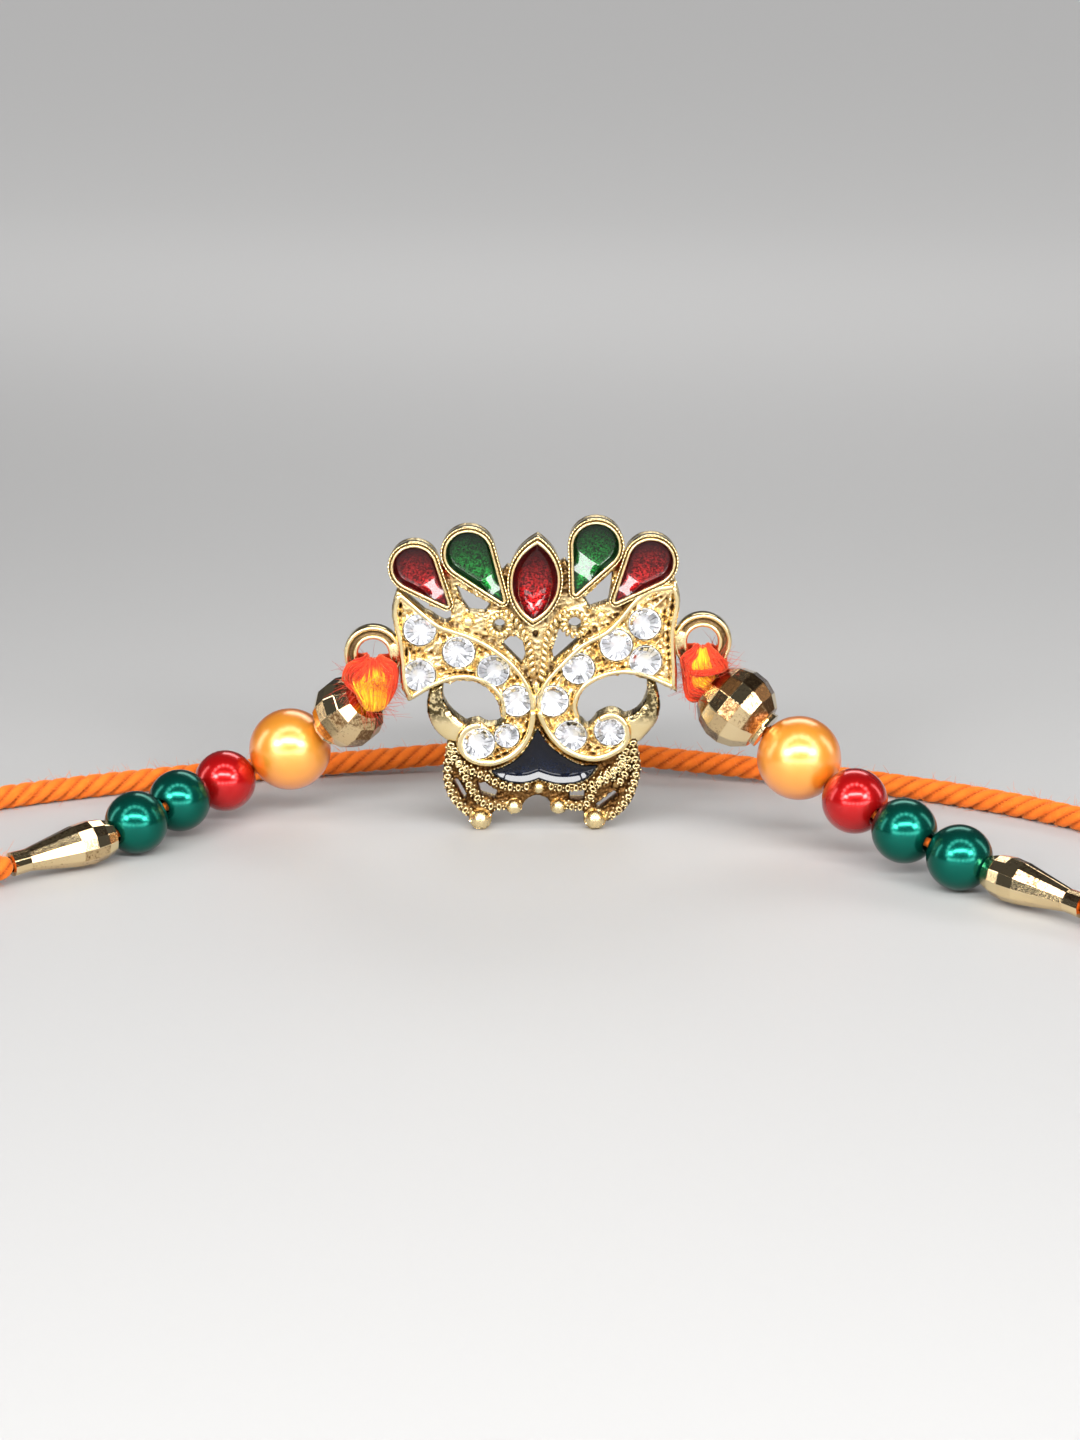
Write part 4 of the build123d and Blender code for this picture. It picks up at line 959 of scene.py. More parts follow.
# The front's height over the back: one area after another takes its place over those before, from the
# waved plate to the pockets and seats, and the outer edge is rounded over last.
def castingHeight(made):
    border, bezels, navy, ropes = made["border"], made["bezels"], made["navy"], made["ropes"]
    onWing, onSkirt = made["wing"] > 0, (made["skirt"] > 0) & (made["wing"] < 0)
    scroll = scrollField(spots, relief["scrollWave"])
    fine = scrollField(spots, relief["fineWave"], seed=8)
    height = np.full(len(spots), casting["plate"])
    height += relief["plateScroll"] * scroll + relief["plateFine"] * fine
    height = np.where(onSkirt, casting["plate"] - relief["skirtDrop"] + relief["skirtFine"] * fine, height)
    waves = relief["wingScroll"] * np.clip(scroll, -0.6, 1) + relief["wingFine"] * fine
    height = np.where(onWing, casting["wing"] + waves, height)
    dome = np.sqrt(1 - (1 - np.clip(made["cheek"] / casting["cheekRound"], 0, 1)) ** 2)
    height = np.where(made["cheek"] > 0, casting["cheek"] + casting["cheekRise"] * dome, height)
    neckTop = casting["ringFront"] - relief["neckRise"] + ridge(
        np.clip(casting["neckRadius"] - made["necks"], 0, 1), 1.0, relief["neckRise"])
    height = np.where(made["necks"] > 0, np.maximum(height, neckTop), height)
    bed = casting["ropeBed"] - relief["ropeDrop"] + ridge(ropes, relief["ropeHalf"], relief["ropeRise"])
    height = np.where(ropes < casting["ropeHalf"], np.maximum(bed, np.where(onWing, height, 0)), height)
    height = np.where(made["ropeDisc"] > 0, casting["ropeBed"], height)
    height = np.where(discField(*stemPit) > 0, pitFloor, height)
    second = np.abs(border - relief["secondAway"])
    line = ridge(second, relief["secondHalf"], relief["secondRise"])
    height = np.where(onWing & (second < relief["secondHalf"]), height + line, height)
    veins = linesField(veinLines)
    leaf = casting["wing"] + relief["veinLift"] + ridge(veins, relief["veinHalf"], relief["veinRise"])
    height = np.where(onWing & (veins < relief["veinHalf"]), np.maximum(height, leaf), height)
    lip, half = -made["hole"], casting["lip"] / 2
    onLip = (lip > 0) & (lip < casting["lip"])
    height = np.where(onLip, height + ridge(lip - half, half, casting["lipRise"]), height)
    onBorder = border < casting["borderHalf"]
    height = np.where(onBorder, casting["border"] - relief["borderDrop"], height)
    wall = ridge(np.abs(bezels - casting["wallMiddle"]), casting["wallHalf"], casting["wallRise"])
    wall += casting["bezel"] - casting["wallRise"]
    height = np.where((bezels > -casting["wallFoot"]) & (made["seats"] < 0), wall, height)
    onRim = (made["rim"] > 0) & (made["pocket"] < 0)
    height = np.where(onRim, casting["petalRim"] - relief["rimDrop"], height)
    height = np.where((made["pocket"] > 0) | (navy > 0), casting["pocketFloor"], height)
    onLip = (navy < 0) & (navy > -relief["navyLip"]) & ~onBorder
    height = np.where(onLip, casting["wing"] + relief["navyRise"], height)
    height = np.where(made["seats"] > 0, casting["seatFloor"], height)
    over = 1 - np.clip(made["body"] / casting["edgeRound"], 0, 1)
    return height - casting["edgeRound"] * (1 - np.sqrt(1 - over ** 2 + 1e-9))


# Masks for the casting's colours and painted shade: polished parts, red spilled beside two petals, painted
# shade on the skirt's ground, warmer gold (which the material deepens in the hollows as painted shade), and
# dark speckles on the cheeks' upper ends.
def colourAndShadeMasks(made):
    up = spots[:, 1]
    onCheek, onBorder = made["cheek"] > 0, made["border"] < casting["borderHalf"]
    onSkirt = (made["skirt"] > 0) & (made["wing"] < 0)
    onRope = made["ropes"] < casting["ropeHalf"]
    warm = np.where(onSkirt | onRope, giltColours["warmGround"], giltColours["warmRest"])
    warm = np.where(made["wing"] > 0, giltColours["warmWing"], warm)
    soot = np.clip((up - giltColours["speckleFrom"]) / giltColours["speckleReach"], 0, 1)
    spills = [np.exp(-((spots - place) ** 2).sum(1) / giltColours["spillBreadth"]) for place in giltColours["spills"]]
    return {
        "polish": onCheek | onBorder,
        "spill": sum(spills),
        # Painted shade on the skirt's ground, under the chains.
        "shadedGround": onSkirt & (made["pads"] < 0) & (made["navy"] < -relief["navyLip"]),
        "warm": np.where(onBorder | onCheek, 0.0, warm),
        "soot": np.where(onCheek, soot, 0.0),
    }


# The casting's mesh: the grid's cells whose middle is inside the outline, with the edge's points moved
# onto it along the field's slope, the same cells again at the back, and a wall between the two edges.
def makeCasting(material):
    made = castingFields()
    body, height, masks = made["body"], castingHeight(made), colourAndShadeMasks(made)
    rows, columns = gridX.shape
    cells = gridFaces(rows, columns)
    kept = cells[body[cells].mean(1) > 0]
    slopeZ, slopeX = np.gradient(body.reshape(rows, columns), casting["spacing"])
    slope = np.stack([slopeX.ravel(), slopeZ.ravel()], 1)
    edges = np.concatenate([kept[:, [k, (k + 1) % 4]] for k in range(4)])
    ordered = np.sort(edges, 1)
    _, index, count = np.unique(ordered, axis=0, return_index=True, return_counts=True)
    rim = edges[index[count == 1]]
    moved = spots.copy()
    onRim = np.unique(rim)
    steep = (slope[onRim] ** 2).sum(1)[:, None]
    step = body[onRim][:, None] * slope[onRim] / np.maximum(steep, 0.25)
    size = np.linalg.norm(step, axis=1)[:, None]
    moved[onRim] -= step * np.minimum(1, 0.75 * casting["spacing"] / np.maximum(size, 1e-9))
    # Painted shade: the hollows, where the blurred height stands over the height, and the skirt's ground are
    # darkened.
    low = blurred(height.reshape(rows, columns), casting["cavityCells"]).ravel() - height
    masks["cavityShade"] = low + casting["groundShade"] * masks.pop("shadedGround")
    number = len(spots)
    walls = np.stack([rim[:, 1], rim[:, 0], rim[:, 0] + number, rim[:, 1] + number], 1)
    faces = np.concatenate([kept, kept[:, ::-1] + number, walls])
    points = np.concatenate([facePoints(moved, height), facePoints(moved, 0.0)])
    used, faces = np.unique(faces, return_inverse=True)
    faces = faces.reshape(-1, 4)
    values = {name: np.concatenate([mask.astype(float), np.zeros(number)])[used]
              for name, mask in masks.items()}
    piece = makePiece("pendantCasting", points[used], faces, material, values=values)
    piece.data.set_sharp_from_angle(angle=math.radians(casting["sharpAngle"]))
    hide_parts("pendant_frame")
    print("casting faces", len(piece.data.polygons))


# Bright gilding, amber in the warm parts and more so in the hollows, near black in the hollows as painted
# shade, with dark speckles and spilled red over it.
def makeGiltMaterial():
    material, tree, shader = newMaterial("giltCasting", metallic=1.0)
    cavityShade, warm, spill, polish, soot = (
        attributeOf(tree, name) for name in ("cavityShade", "warm", "spill", "polish", "soot"))
    speck = noiseOn(tree, 2600.0, 3.0, 0.7)
    grain = noiseOn(tree, 6500.0, 3.0, 0.7)
    patch = noiseOn(tree, 700.0, 2.0)
    # Painted shade: near black in the hollows, in the grooves and under the grains.
    deep = rangeOf(tree, cavityShade, 0.0, 0.22)
    # Raised parts take less amber, so the hollows turn warmer and darker as painted shade.
    high = rangeOf(tree, cavityShade, -0.12, -0.02)
    bright = mixColours(tree, patch, (0.9, 0.755, 0.45), (0.82, 0.635, 0.31))
    amber = mixColours(tree, patch, (0.66, 0.42, 0.14), (0.5, 0.24, 0.05))
    base = mixColours(tree, warm * (0.3 + 0.7 * high), bright, amber)
    # Dark speckles on the cheeks' upper ends.
    speckleShare = rangeOf(tree, speck, 0.4, 0.52)
    base = mixColours(tree, soot * speckleShare * 0.95, base, (0.055, 0.038, 0.014))
    base = mixColours(tree, deep * (0.6 + 0.6 * grain), base, (0.07, 0.024, 0.005))
    base = mixColours(tree, spill * 0.8, base, (0.45, 0.03, 0.01))
    rough = 0.16 + 0.2 * grain + 0.14 * deep - 0.08 * polish
    height = grain * (1 - 0.75 * polish)
    linkTo(tree, shader, baseColor=base, roughness=rough, normal=bumpFrom(tree, height, 0.5, 0.05))
    return material


giltMaterial = makeGiltMaterial()
makeCasting(giltMaterial)
print("casting ready")


# Rims, borders and side rings, swept over the casting

# The rim's section: distance out from the pocket's edge and depth, in millimetres. A broad inner rim
# and a thin beaded line stand on each side of a groove.
rimSection = [(0.03, 1.7), (-0.02, 2.05), (0.0, 2.19), (0.06, 2.27), (0.13, 2.3), (0.2, 2.28), (0.26, 2.2),
              (0.29, 2.03), (0.33, 1.98), (0.37, 2.03), (0.4, 2.14), (0.45, 2.2), (0.51, 2.17),
              (0.55, 2.05), (0.56, 1.7), (0.54, 1.2), (0.48, 1.1)]
# The beaded line lies between the first two distances, above the height, and the groove, darkened as painted
# shade, between the last.
rimBeads = {"pitch": 0.36, "rise": 0.05, "middle": 0.45, "line": (0.38, 0.53), "above": 2.1,
            "shadeLine": (0.27, 0.38), "grooveShade": 0.28}


# Points of a petal's outline this far out from its pocket: a fixed count of points on its two arcs and
# its two straight sides, so that rings at different distances match point for point.
def dropRing(x, z, tipX, tipZ, radius, out):
    line = []
    turn = math.atan2(tipZ - z, tipX - x)
    touch = math.acos((radius - casting["petalTipRadius"]) / math.hypot(tipX - x, tipZ - z))
    big = turn + np.linspace(touch, 2 * np.pi - touch, 150)
    small = turn + np.linspace(-touch, touch, 24)
    radius, tip = radius + out, casting["petalTipRadius"] + out
    line.append(np.stack([x + radius * np.cos(big), z + radius * np.sin(big)], 1))
    near = np.stack([tipX + tip * np.cos(small), tipZ + tip * np.sin(small)], 1)
    share = np.linspace(0, 1, 60)[1:-1, None]
    line.append(line[0][-1] + share * (near[0] - line[0][-1]))
    line.append(near)
    line.append(near[-1] + share * (line[0][0] - near[-1]))
    return np.concatenate(line)


# The same round the middle petal, whose rim is wider at its tips.
def marquiseRing(out):
    up = marquise["halfHeight"] + out * casting["marquiseTipRim"] / casting["petalRimWidth"]
    return marquisePoints(marquise["halfWidth"] + out, up, 130)


# One ring of the rim round a petal of the table, or round the middle petal where none is given.
def rimRing(petal, out):
    return dropRing(*petal, out) if petal else marquiseRing(out)


# All rims: the section swept round each petal, its thin line waved by a cosine with a whole number of
# beads round the petal.
def makeRims(material):
    parts, shadeLines = [], []
    first, last = rimBeads["line"]
    onLine = np.array([float(first < out < last and depth > rimBeads["above"]) for out, depth in rimSection])
    first, last = rimBeads["shadeLine"]
    inGroove = np.array([float(first < out < last) for out, _ in rimSection])
    for petal in [*petalTable.values(), None]:
        rings = np.stack([rimRing(petal, out) for out, _ in rimSection])
        middle = rimRing(petal, rimBeads["middle"])
        length = np.linalg.norm(np.roll(middle, -1, axis=0) - middle, axis=1).cumsum()
        count = round(length[-1] / rimBeads["pitch"])
        beads = rimBeads["rise"] * np.cos(length * 2 * np.pi * count / length[-1])
        depth = np.array([depth for _, depth in rimSection])[:, None] + onLine[:, None] * beads
        parts.append((facePoints(rings, depth).reshape(-1, 3),
                      gridFaces(len(rimSection), len(middle), wrapRows=True, wrapColumns=True)))
        shadeLines.append(np.repeat(inGroove, len(middle)))
    points, faces = joinParts(parts)
    # Painted shade: the rim's groove is darkened.
    shadeLine = np.concatenate(shadeLines)
    piece = makePiece("petalRims", points, faces, material,
                      values={"cavityShade": rimBeads["grooveShade"] * shadeLine, "polish": 1.0 - shadeLine})
    print("petal rim faces", len(piece.data.polygons))


# Border wires: radius, that of the two curls' wires, which these are, and how deep the middle line lies.
borderWire = {"radius": 0.25, "curlRadius": 0.34, "curls": (3, 7), "sunk": 0.3, "endReach": 0.3,
              "endShare": 0.45, "wobble": 0.05, "columns": 14}


# Borders: a round wire along each line, slightly uneven as cast by hand, its ends drawn in.
def makeBorders(material):
    parts = []
    for number, line in enumerate(borderLines):
        path = facePoints(smoothLine(line, 0.16), casting["border"] - borderWire["sunk"])
        length = lengthAlong(path)
        near = np.clip(np.minimum(length, length[-1] - length) / borderWire["endReach"], 0, 1)
        wobble = 1 + borderWire["wobble"] * np.sin(length * 2.3) * np.sin(length * 0.7 + 1)
        full = borderWire["curlRadius" if number in borderWire["curls"] else "radius"]
        end = borderWire["endShare"]
        radius = full * wobble * (end + (1 - end) * np.sqrt(1 - (1 - near) ** 2))
        parts.append(tubeAlong(path, radius, borderWire["columns"], up=(0, 1, 0)))
    points, faces = joinParts(parts)
    makePiece("wingBorders", points, faces, material,
              values={"polish": np.ones(len(points))})


# A side ring's section: radius and height, from the back round the hole's side to the outer edge.
sideRingSection = [
    (1.62, 0.1), (1.5, 0.2), (1.45, 0.4), (1.45, 1.2), (1.49, 1.42), (1.58, 1.55), (1.69, 1.6),
    (1.81, 1.57), (1.9, 1.46), (1.95, 1.3), (2.13, 1.24), (2.31, 1.3), (2.36, 1.45), (2.46, 1.55),
    (2.56, 1.58), (2.68, 1.54), (2.77, 1.4), (2.8, 1.15), (2.8, 0.4), (2.74, 0.2), (2.6, 0.1), (1.62, 0.1)]
sideRingColumns = 128


# Side rings: two round rims with a groove between them, darkened as painted shade, turned about the ring's
# middle.
def makeSideRings(material):
    profile = [(depth, radius) for radius, depth in sideRingSection]
    parts = [turnedShape(profile, sideRingColumns, (x, casting["backY"], z), (0, -1, 0.0001))
             for x, z in sideRings]
    # Painted shade: the groove is darkened.
    shadeLine = [float(1.93 < radius < 2.34 and depth > 1.0) for depth, radius in profile]
    shadeLine = np.tile(np.repeat(shadeLine, sideRingColumns), len(sideRings))
    points, faces = joinParts(parts)
    makePiece("sideRings", points, faces, material,
              values={"cavityShade": 0.22 * shadeLine, "polish": 1.0 - shadeLine})


makeRims(giltMaterial)
makeBorders(giltMaterial)
makeSideRings(giltMaterial)
print("rims, borders and rings ready")


# Balls, rope coils and chains of the casting

# A chain of small rings with dots between them: half sizes along, across and out, in millimetres.
chain = {"pitch": 0.8, "ring": (0.2, 0.3, 0.45), "lift": 0.24, "dot": 0.13, "dotAway": 0.4, "dotLift": 0.1}
# Coils down the stem: pitch, first place, lift, lean and half sizes; then coils round the two rope rings
# and the one grain under the stem.
coil = {"pitch": 0.64, "start": 0.2, "lift": 0.24, "lean": 0.62, "sizes": (0.52, 0.25, 0.36)}
ropeCoil = {"count": 14, "lift": 0.22, "lean": 0.35, "sizes": (0.24, 0.32)}
lowGrain = {"middle": (-0.13, 14.6), "lift": 0.15, "sizes": (0.75, 0.32, 0.35)}
# Small shapes of unit size: a ball, and a ring whose tube is this share of its radius and this high.
ringTube, ringHigh = 0.4, 0.42
blobAngle = np.linspace(0, 2 * np.pi, 8, endpoint=False)
blobRise = np.linspace(-np.pi / 2, np.pi / 2, 6)
tubeAngle = np.linspace(0, 2 * np.pi, 5, endpoint=False)


# Points at these distances from the axis and heights along it, at each of the eight angles round it.
def turnedGrain(away, high):
    return np.stack(np.broadcast_arrays(away * np.cos(blobAngle)[:, None], away * np.sin(blobAngle)[:, None],
                                        high), -1)


blobPoints = turnedGrain(np.cos(blobRise), np.sin(blobRise)).transpose(1, 0, 2).reshape(-1, 3)
blobFaces = gridFaces(6, 8, wrapColumns=True)
ringPoints = turnedGrain(1 + ringTube * np.cos(tubeAngle), ringHigh * np.sin(tubeAngle)).reshape(-1, 3)
ringFaces = gridFaces(8, 5, wrapRows=True, wrapColumns=True)


# Copies of a small shape: each at its centre, its first axis at this angle in the pendant's face and
# its sizes along that axis, across it and out of the face.
def repeated(shape, faces, centres, depths, angles, sizes):
    cosine, sine = np.cos(angles)[:, None], np.sin(angles)[:, None]
    u, v, w = (shape[None, :, k] * sizes[:, k, None] for k in range(3))
    points = np.stack([centres[:, :1] + u * cosine - v * sine, casting["backY"] - depths[:, None] - w,
                       centres[:, 1:] + u * sine + v * cosine], -1)
    offset = (np.arange(len(centres)) * len(shape))[:, None, None]
    return points.reshape(-1, 3), (faces[None] + offset).reshape(-1, 4)


# Places and headings at even steps of a line.
def placesAlong(line, pitch, start=0.0):
    dense = smoothLine(line, 0.05)
    length = lengthAlong(dense)
    at = np.arange(start, length[-1], pitch)
    places = np.stack([np.interp(at, length, dense[:, k]) for k in (0, 1)], 1)
    slope = np.stack([np.interp(at, length, np.gradient(dense[:, k])) for k in (0, 1)], 1)
    return places, np.arctan2(slope[:, 1], slope[:, 0])


# All grains as one piece, with painted shade on the lower part of each, and the cast balls as another.
def makeGrains(material):
    parts, shades = [], []
    rope = casting["ropeBed"]
    blob, ring = (blobPoints, blobFaces), (ringPoints, ringFaces)

    # Copies of a shape at these places, this far over the rope's bed.
    def add(shape, places, lift, angles, sizes):
        count = len(places)
        parts.append(repeated(*shape, places, np.full(count, rope + lift), np.broadcast_to(angles, count),
                              np.broadcast_to(sizes, (count, 3))))
        # Painted shade: the lower part of each grain, near the bed, is darkened.
        shades.append(np.tile(0.25 * np.clip(0.35 - shape[0][:, 2] / shape[0][:, 2].max(), 0, 1), count))

    for number, line in enumerate(stemLines):
        places, heading = placesAlong(line, coil["pitch"], coil["start"])
        lean = (coil["lean"], -coil["lean"])[number]
        add(blob, places, coil["lift"], heading + np.pi / 2 + lean, coil["sizes"])
    for line in chainLines:
        places, heading = placesAlong(line, chain["pitch"])
        add(ring, places, chain["lift"], heading, chain["ring"])
        places, heading = placesAlong(line, chain["pitch"], chain["pitch"] / 2)
        add(blob, places, chain["dotLift"], heading, chain["dot"])
        for side in (-1, 1):
            shift = side * chain["dotAway"] * np.stack([-np.sin(heading), np.cos(heading)], 1)
            add(blob, places + shift, -chain["dotLift"], heading, chain["dot"])
    for x, z, hole, outer in ropeRings:
        angle = np.arange(ropeCoil["count"]) * 2 * np.pi / ropeCoil["count"]
        middle = (hole + outer) / 2
        places = np.stack([x + middle * np.cos(angle), z + middle * np.sin(angle)], 1)
        sizes = ((outer - hole) / 2, *ropeCoil["sizes"])
        add(blob, places, ropeCoil["lift"], angle + ropeCoil["lean"], sizes)
    add(blob, np.array([lowGrain["middle"]]), lowGrain["lift"], np.pi / 2, lowGrain["sizes"])
    points, faces = joinParts(parts)
    grains = makePiece("ropeGrains", points, faces, material,
                       values={"cavityShade": np.concatenate(shades)})
    print("rope grain faces", len(grains.data.polygons))
    ballParts = []
    for x, z, radius in ballTable + footTable:
        rise = np.linspace(-np.pi / 2, np.pi / 2, 25)
        ballParts.append(turnedShape(np.stack([radius * np.sin(rise), radius * np.cos(rise)], 1), 40,
                                     (x, casting["backY"] - ballDepth, z), (0, -1, 0.001)))
    points, faces = joinParts(ballParts)
    makePiece("castBalls", points, faces, material)


makeGrains(giltMaterial)
print("grains ready")


# Enamel pools

pool = {
    "edge": 2.08, "dip": 1.0, "steepness": 3.0, "floor": 0.84, "rows": 34, "inset": 0.985, "rowPower": 1.4,
    "bevelStart": 0.08, "bevelAngle": 30, "settle": 0.3, "rampRound": 0.0009, "rampWall": 0.12,
    "rampEdge": 0.25, "sharpAngle": 55,
    # Painted light: how soon it grows inward from the rim, then its least, its rise and its power downward.
    "paintedLightReach": 0.5, "paintedLightLeast": 0.01, "paintedLightRise": 1.5, "paintedLightPower": 1.9,
}
# Ramps near the petals' tips, where the enamel climbs: which way across, then where each begins and how
# far it rises, in millimetres from the tip and of height.
rampTable = {
    "enamel_red_left": (1, 2.7, 1.0), "enamel_green_left": (1, 2.6, 1.0),
    "enamel_green_right": (-1, 3.3, 1.0), "enamel_red_right": (-1, 2.6, 1.0),
}
rampSlope = (0.327, -0.473)


# A pool inside a closed line: rings of the line scaled about its deepest point by a share t. The surface
# stands at the edge height less the dip times 1 - t ^ steepness, or, with a bevel, falls at 30 degrees
# over the bevel's width and then levels out. A ramp is a flat slope near the tip, from the pool's level
# up by its rise. Below the surface are a wall and a flat floor.
def makePool(name, nodeName, line, middle, material, dip=pool["dip"], bevel=0.0, ramp=None,
             tip=None):
    line = middle + (line - middle) * pool["inset"]
    share = (1 - np.linspace(0, 1, pool["rows"]) ** pool["rowPower"])[:, None, None]
    share = np.maximum(share, 0.001)
    columns = len(line)
    flat = (middle + (line[None] - middle) * share).reshape(-1, 2)
    distance = distanceToLine(flat, np.concatenate([line, line[:1]]))
    top = np.repeat(pool["edge"] - dip * (1 - share.ravel() ** pool["steepness"]), columns)
    if bevel:
        slope = math.tan(math.radians(pool["bevelAngle"]))
        inward = distance - pool["bevelStart"]
        top = pool["edge"] - slope * np.clip(inward, 0, bevel)
        top -= (dip - slope * bevel) * (1 - np.exp(-np.clip(inward - bevel, 0, None) / pool["settle"]))
    if ramp:
        way, reach, rise = ramp
        slope = np.array((rampSlope[0] * way, rampSlope[1]))
        along = (flat - tip) @ slope + np.linalg.norm(slope) * reach
        climb = 0.5 * (along + np.sqrt(along ** 2 + pool["rampRound"]))
        climb = rise - 0.5 * (rise - climb + np.sqrt((rise - climb) ** 2 + pool["rampRound"]))
        climb = pool["edge"] - dip + climb
        near = np.exp(-distance / pool["rampWall"])
        top = climb * (1 - near) + near * np.maximum(climb, pool["edge"] - pool["rampEdge"])
    centre = np.tile(middle, (columns, 1))
    points = np.concatenate([facePoints(centre, pool["floor"]), facePoints(line, pool["floor"]),
                             facePoints(flat, top), facePoints(centre, top[-1])])
    # Painted light: brighter towards the bottom of the pool, with painted shade along its rim.
    high, low = line[:, 1].max(), line[:, 1].min()
    lower = 1 - (flat[:, 1] - low) / (high - low)
    inner = 1 - np.exp(-(distance / pool["paintedLightReach"]) ** 2)
    glow = inner * (pool["paintedLightLeast"] + pool["paintedLightRise"] * lower ** pool["paintedLightPower"])
    glow = np.concatenate([np.zeros(2 * columns), glow, glow[-columns:]])
    faces = gridFaces(pool["rows"] + 3, columns, wrapColumns=True)
    piece = makePiece(name, points, faces, material, values={"glow": glow})
    piece.data.set_sharp_from_angle(angle=math.radians(pool["sharpAngle"]))
    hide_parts(nodeName)


# Glossy clear coat over coloured flakes: each small Voronoi cell has its own brightness. The bright colour
# shows only where the painted light is: strongest towards the bottom, and none at the rim as painted shade.
def makeEnamelMaterial(name, deep, bright, flake=7500.0, share=0.5, metal=0.55):
    material, tree, shader = newMaterial(name, roughness=0.42, coat=0.8, coatRoughness=0.03, coatIor=1.45,
                                         metallic=metal, specular=0.05)
    cell = addNode(tree, "ShaderNodeTexVoronoi", None, {"Vector": objectPlace(tree), "Scale": flake},
                   "Color")
    spark = addNode(tree, "ShaderNodeSeparateColor", None, {"Color": cell}, "Red")
    cloud = noiseOn(tree, 900.0, 3.0)
    glow = attributeOf(tree, "glow")
    base = mixColours(tree, spark ** 1.6 * glow * (share + 0.9 * cloud), deep, bright)
    bump = bumpFrom(tree, spark, 0.55, 0.04)
    linkTo(tree, shader, baseColor=base, normal=bump)
    return material


enamelMaterials = {
    "red": makeEnamelMaterial("redEnamel", (0.034, 0.001, 0.0015), (0.95, 0.02, 0.02)),
    "green": makeEnamelMaterial("greenEnamel", (0.0015, 0.013, 0.002), (0.03, 0.52, 0.08)),
    "navy": makeEnamelMaterial("navyEnamel", (0.0005, 0.001, 0.004), (0.002, 0.008, 0.03), share=0.2,
                               metal=0.0),
}


# A node's name without its first words, in the scene's manner: stone_left_1 gives Left1 after one word.
def sceneName(nodeName, skipped=0):
    return "".join(word.title() for word in nodeName.split("_")[skipped:])


# The five petals' enamel, the deepest point of the drops a little past the middle of the round end, and
# the dark panel with its bevel.
def makeEnamels():
    tip = casting["petalTipRadius"]
    for name, (x, z, tipX, tipZ, radius) in petalTable.items():
        colour = name.split("_")[1]
        line = dropLine(x, z, tipX, tipZ, radius, tip)
        middle = np.array([x - 0.12 * (tipX - x), z - 0.12 * (tipZ - z)])
        makePool("pool" + sceneName(name, 1), name, line, middle, enamelMaterials[colour],
                 ramp=rampTable[name], tip=np.array([tipX, tipZ]))
    makePool("poolRedCentre", "enamel_red_centre", marquiseLine(),
             np.array([marquise["across"], marquise["up"]]), enamelMaterials["red"])
    makePool("poolNavy", "enamel_navy", evenSteps(closedLine(navyOutline, 0.1), 0.12)[:-1],
             np.array(navyMiddle), enamelMaterials["navy"], dip=0.45, bevel=0.55)


makeEnamels()
print("enamel ready")


# Cut stones: a clear faceted body over a bright foil cup

# Shares of the radius and heights: the pavilion's facets are parted by narrow strips painted dark as shade.
stoneShape = {
    "sides": 16, "fullRadius": 1.5, "girdle": 1.95, "girdleHeight": 0.1, "crown": 0.4, "table": 0.62,
    "side": 0.995, "culet": 0.12, "pavilion": 0.6, "shadeLine": 0.12, "culetShift": 0.16, "gap": 0.02,
}
# The foil cup's rings, down its inside and up its outside: share of the way from the pit to the girdle,
# how far it is set back, how much wider than that share it is, and its facets' most shade.
cupRings = [(1.0, 0.0, 0.012, 0), (0.9, 0.0, 0.012, 0), (0.89, 0.0, 0.012, 1), (0.46, 0.0, 0.012, 1),
            (0.45, 0.0, 0.012, 0.4), (0.1, 0.0, 0.012, 0), (0.001, 0.0, 0.012, 0),
            (0.001, 0.05, 0.02, 0), (0.1, 0.05, 0.02, 0), (1.0, 0.05, 0.02, 0)]


# Clear glass, and a bright foil with narrow strips of painted shade that also glows faintly as painted light.
def makeStoneMaterials():
    clear, _, _ = newMaterial("clearStone", baseColor=(1, 1, 1), roughness=0.0, transmission=1.0, ior=1.42)
    foil, tree, shader = newMaterial("stoneFoil", metallic=0.7, roughness=0.16, emissionStrength=0.2)
    dark = attributeOf(tree, "shadeLine")
    base = mixColours(tree, dark, (0.96, 0.97, 1.0), (0.02, 0.022, 0.028))
    linkTo(tree, shader, baseColor=base, emissionColor=base)
    return clear, foil


# A ring of corners about a middle at this depth and radius.
def stoneRing(middle, depth, radius, angle):
    return facePoints(middle + radius * np.stack([np.cos(angle), np.sin(angle)], 1), depth)


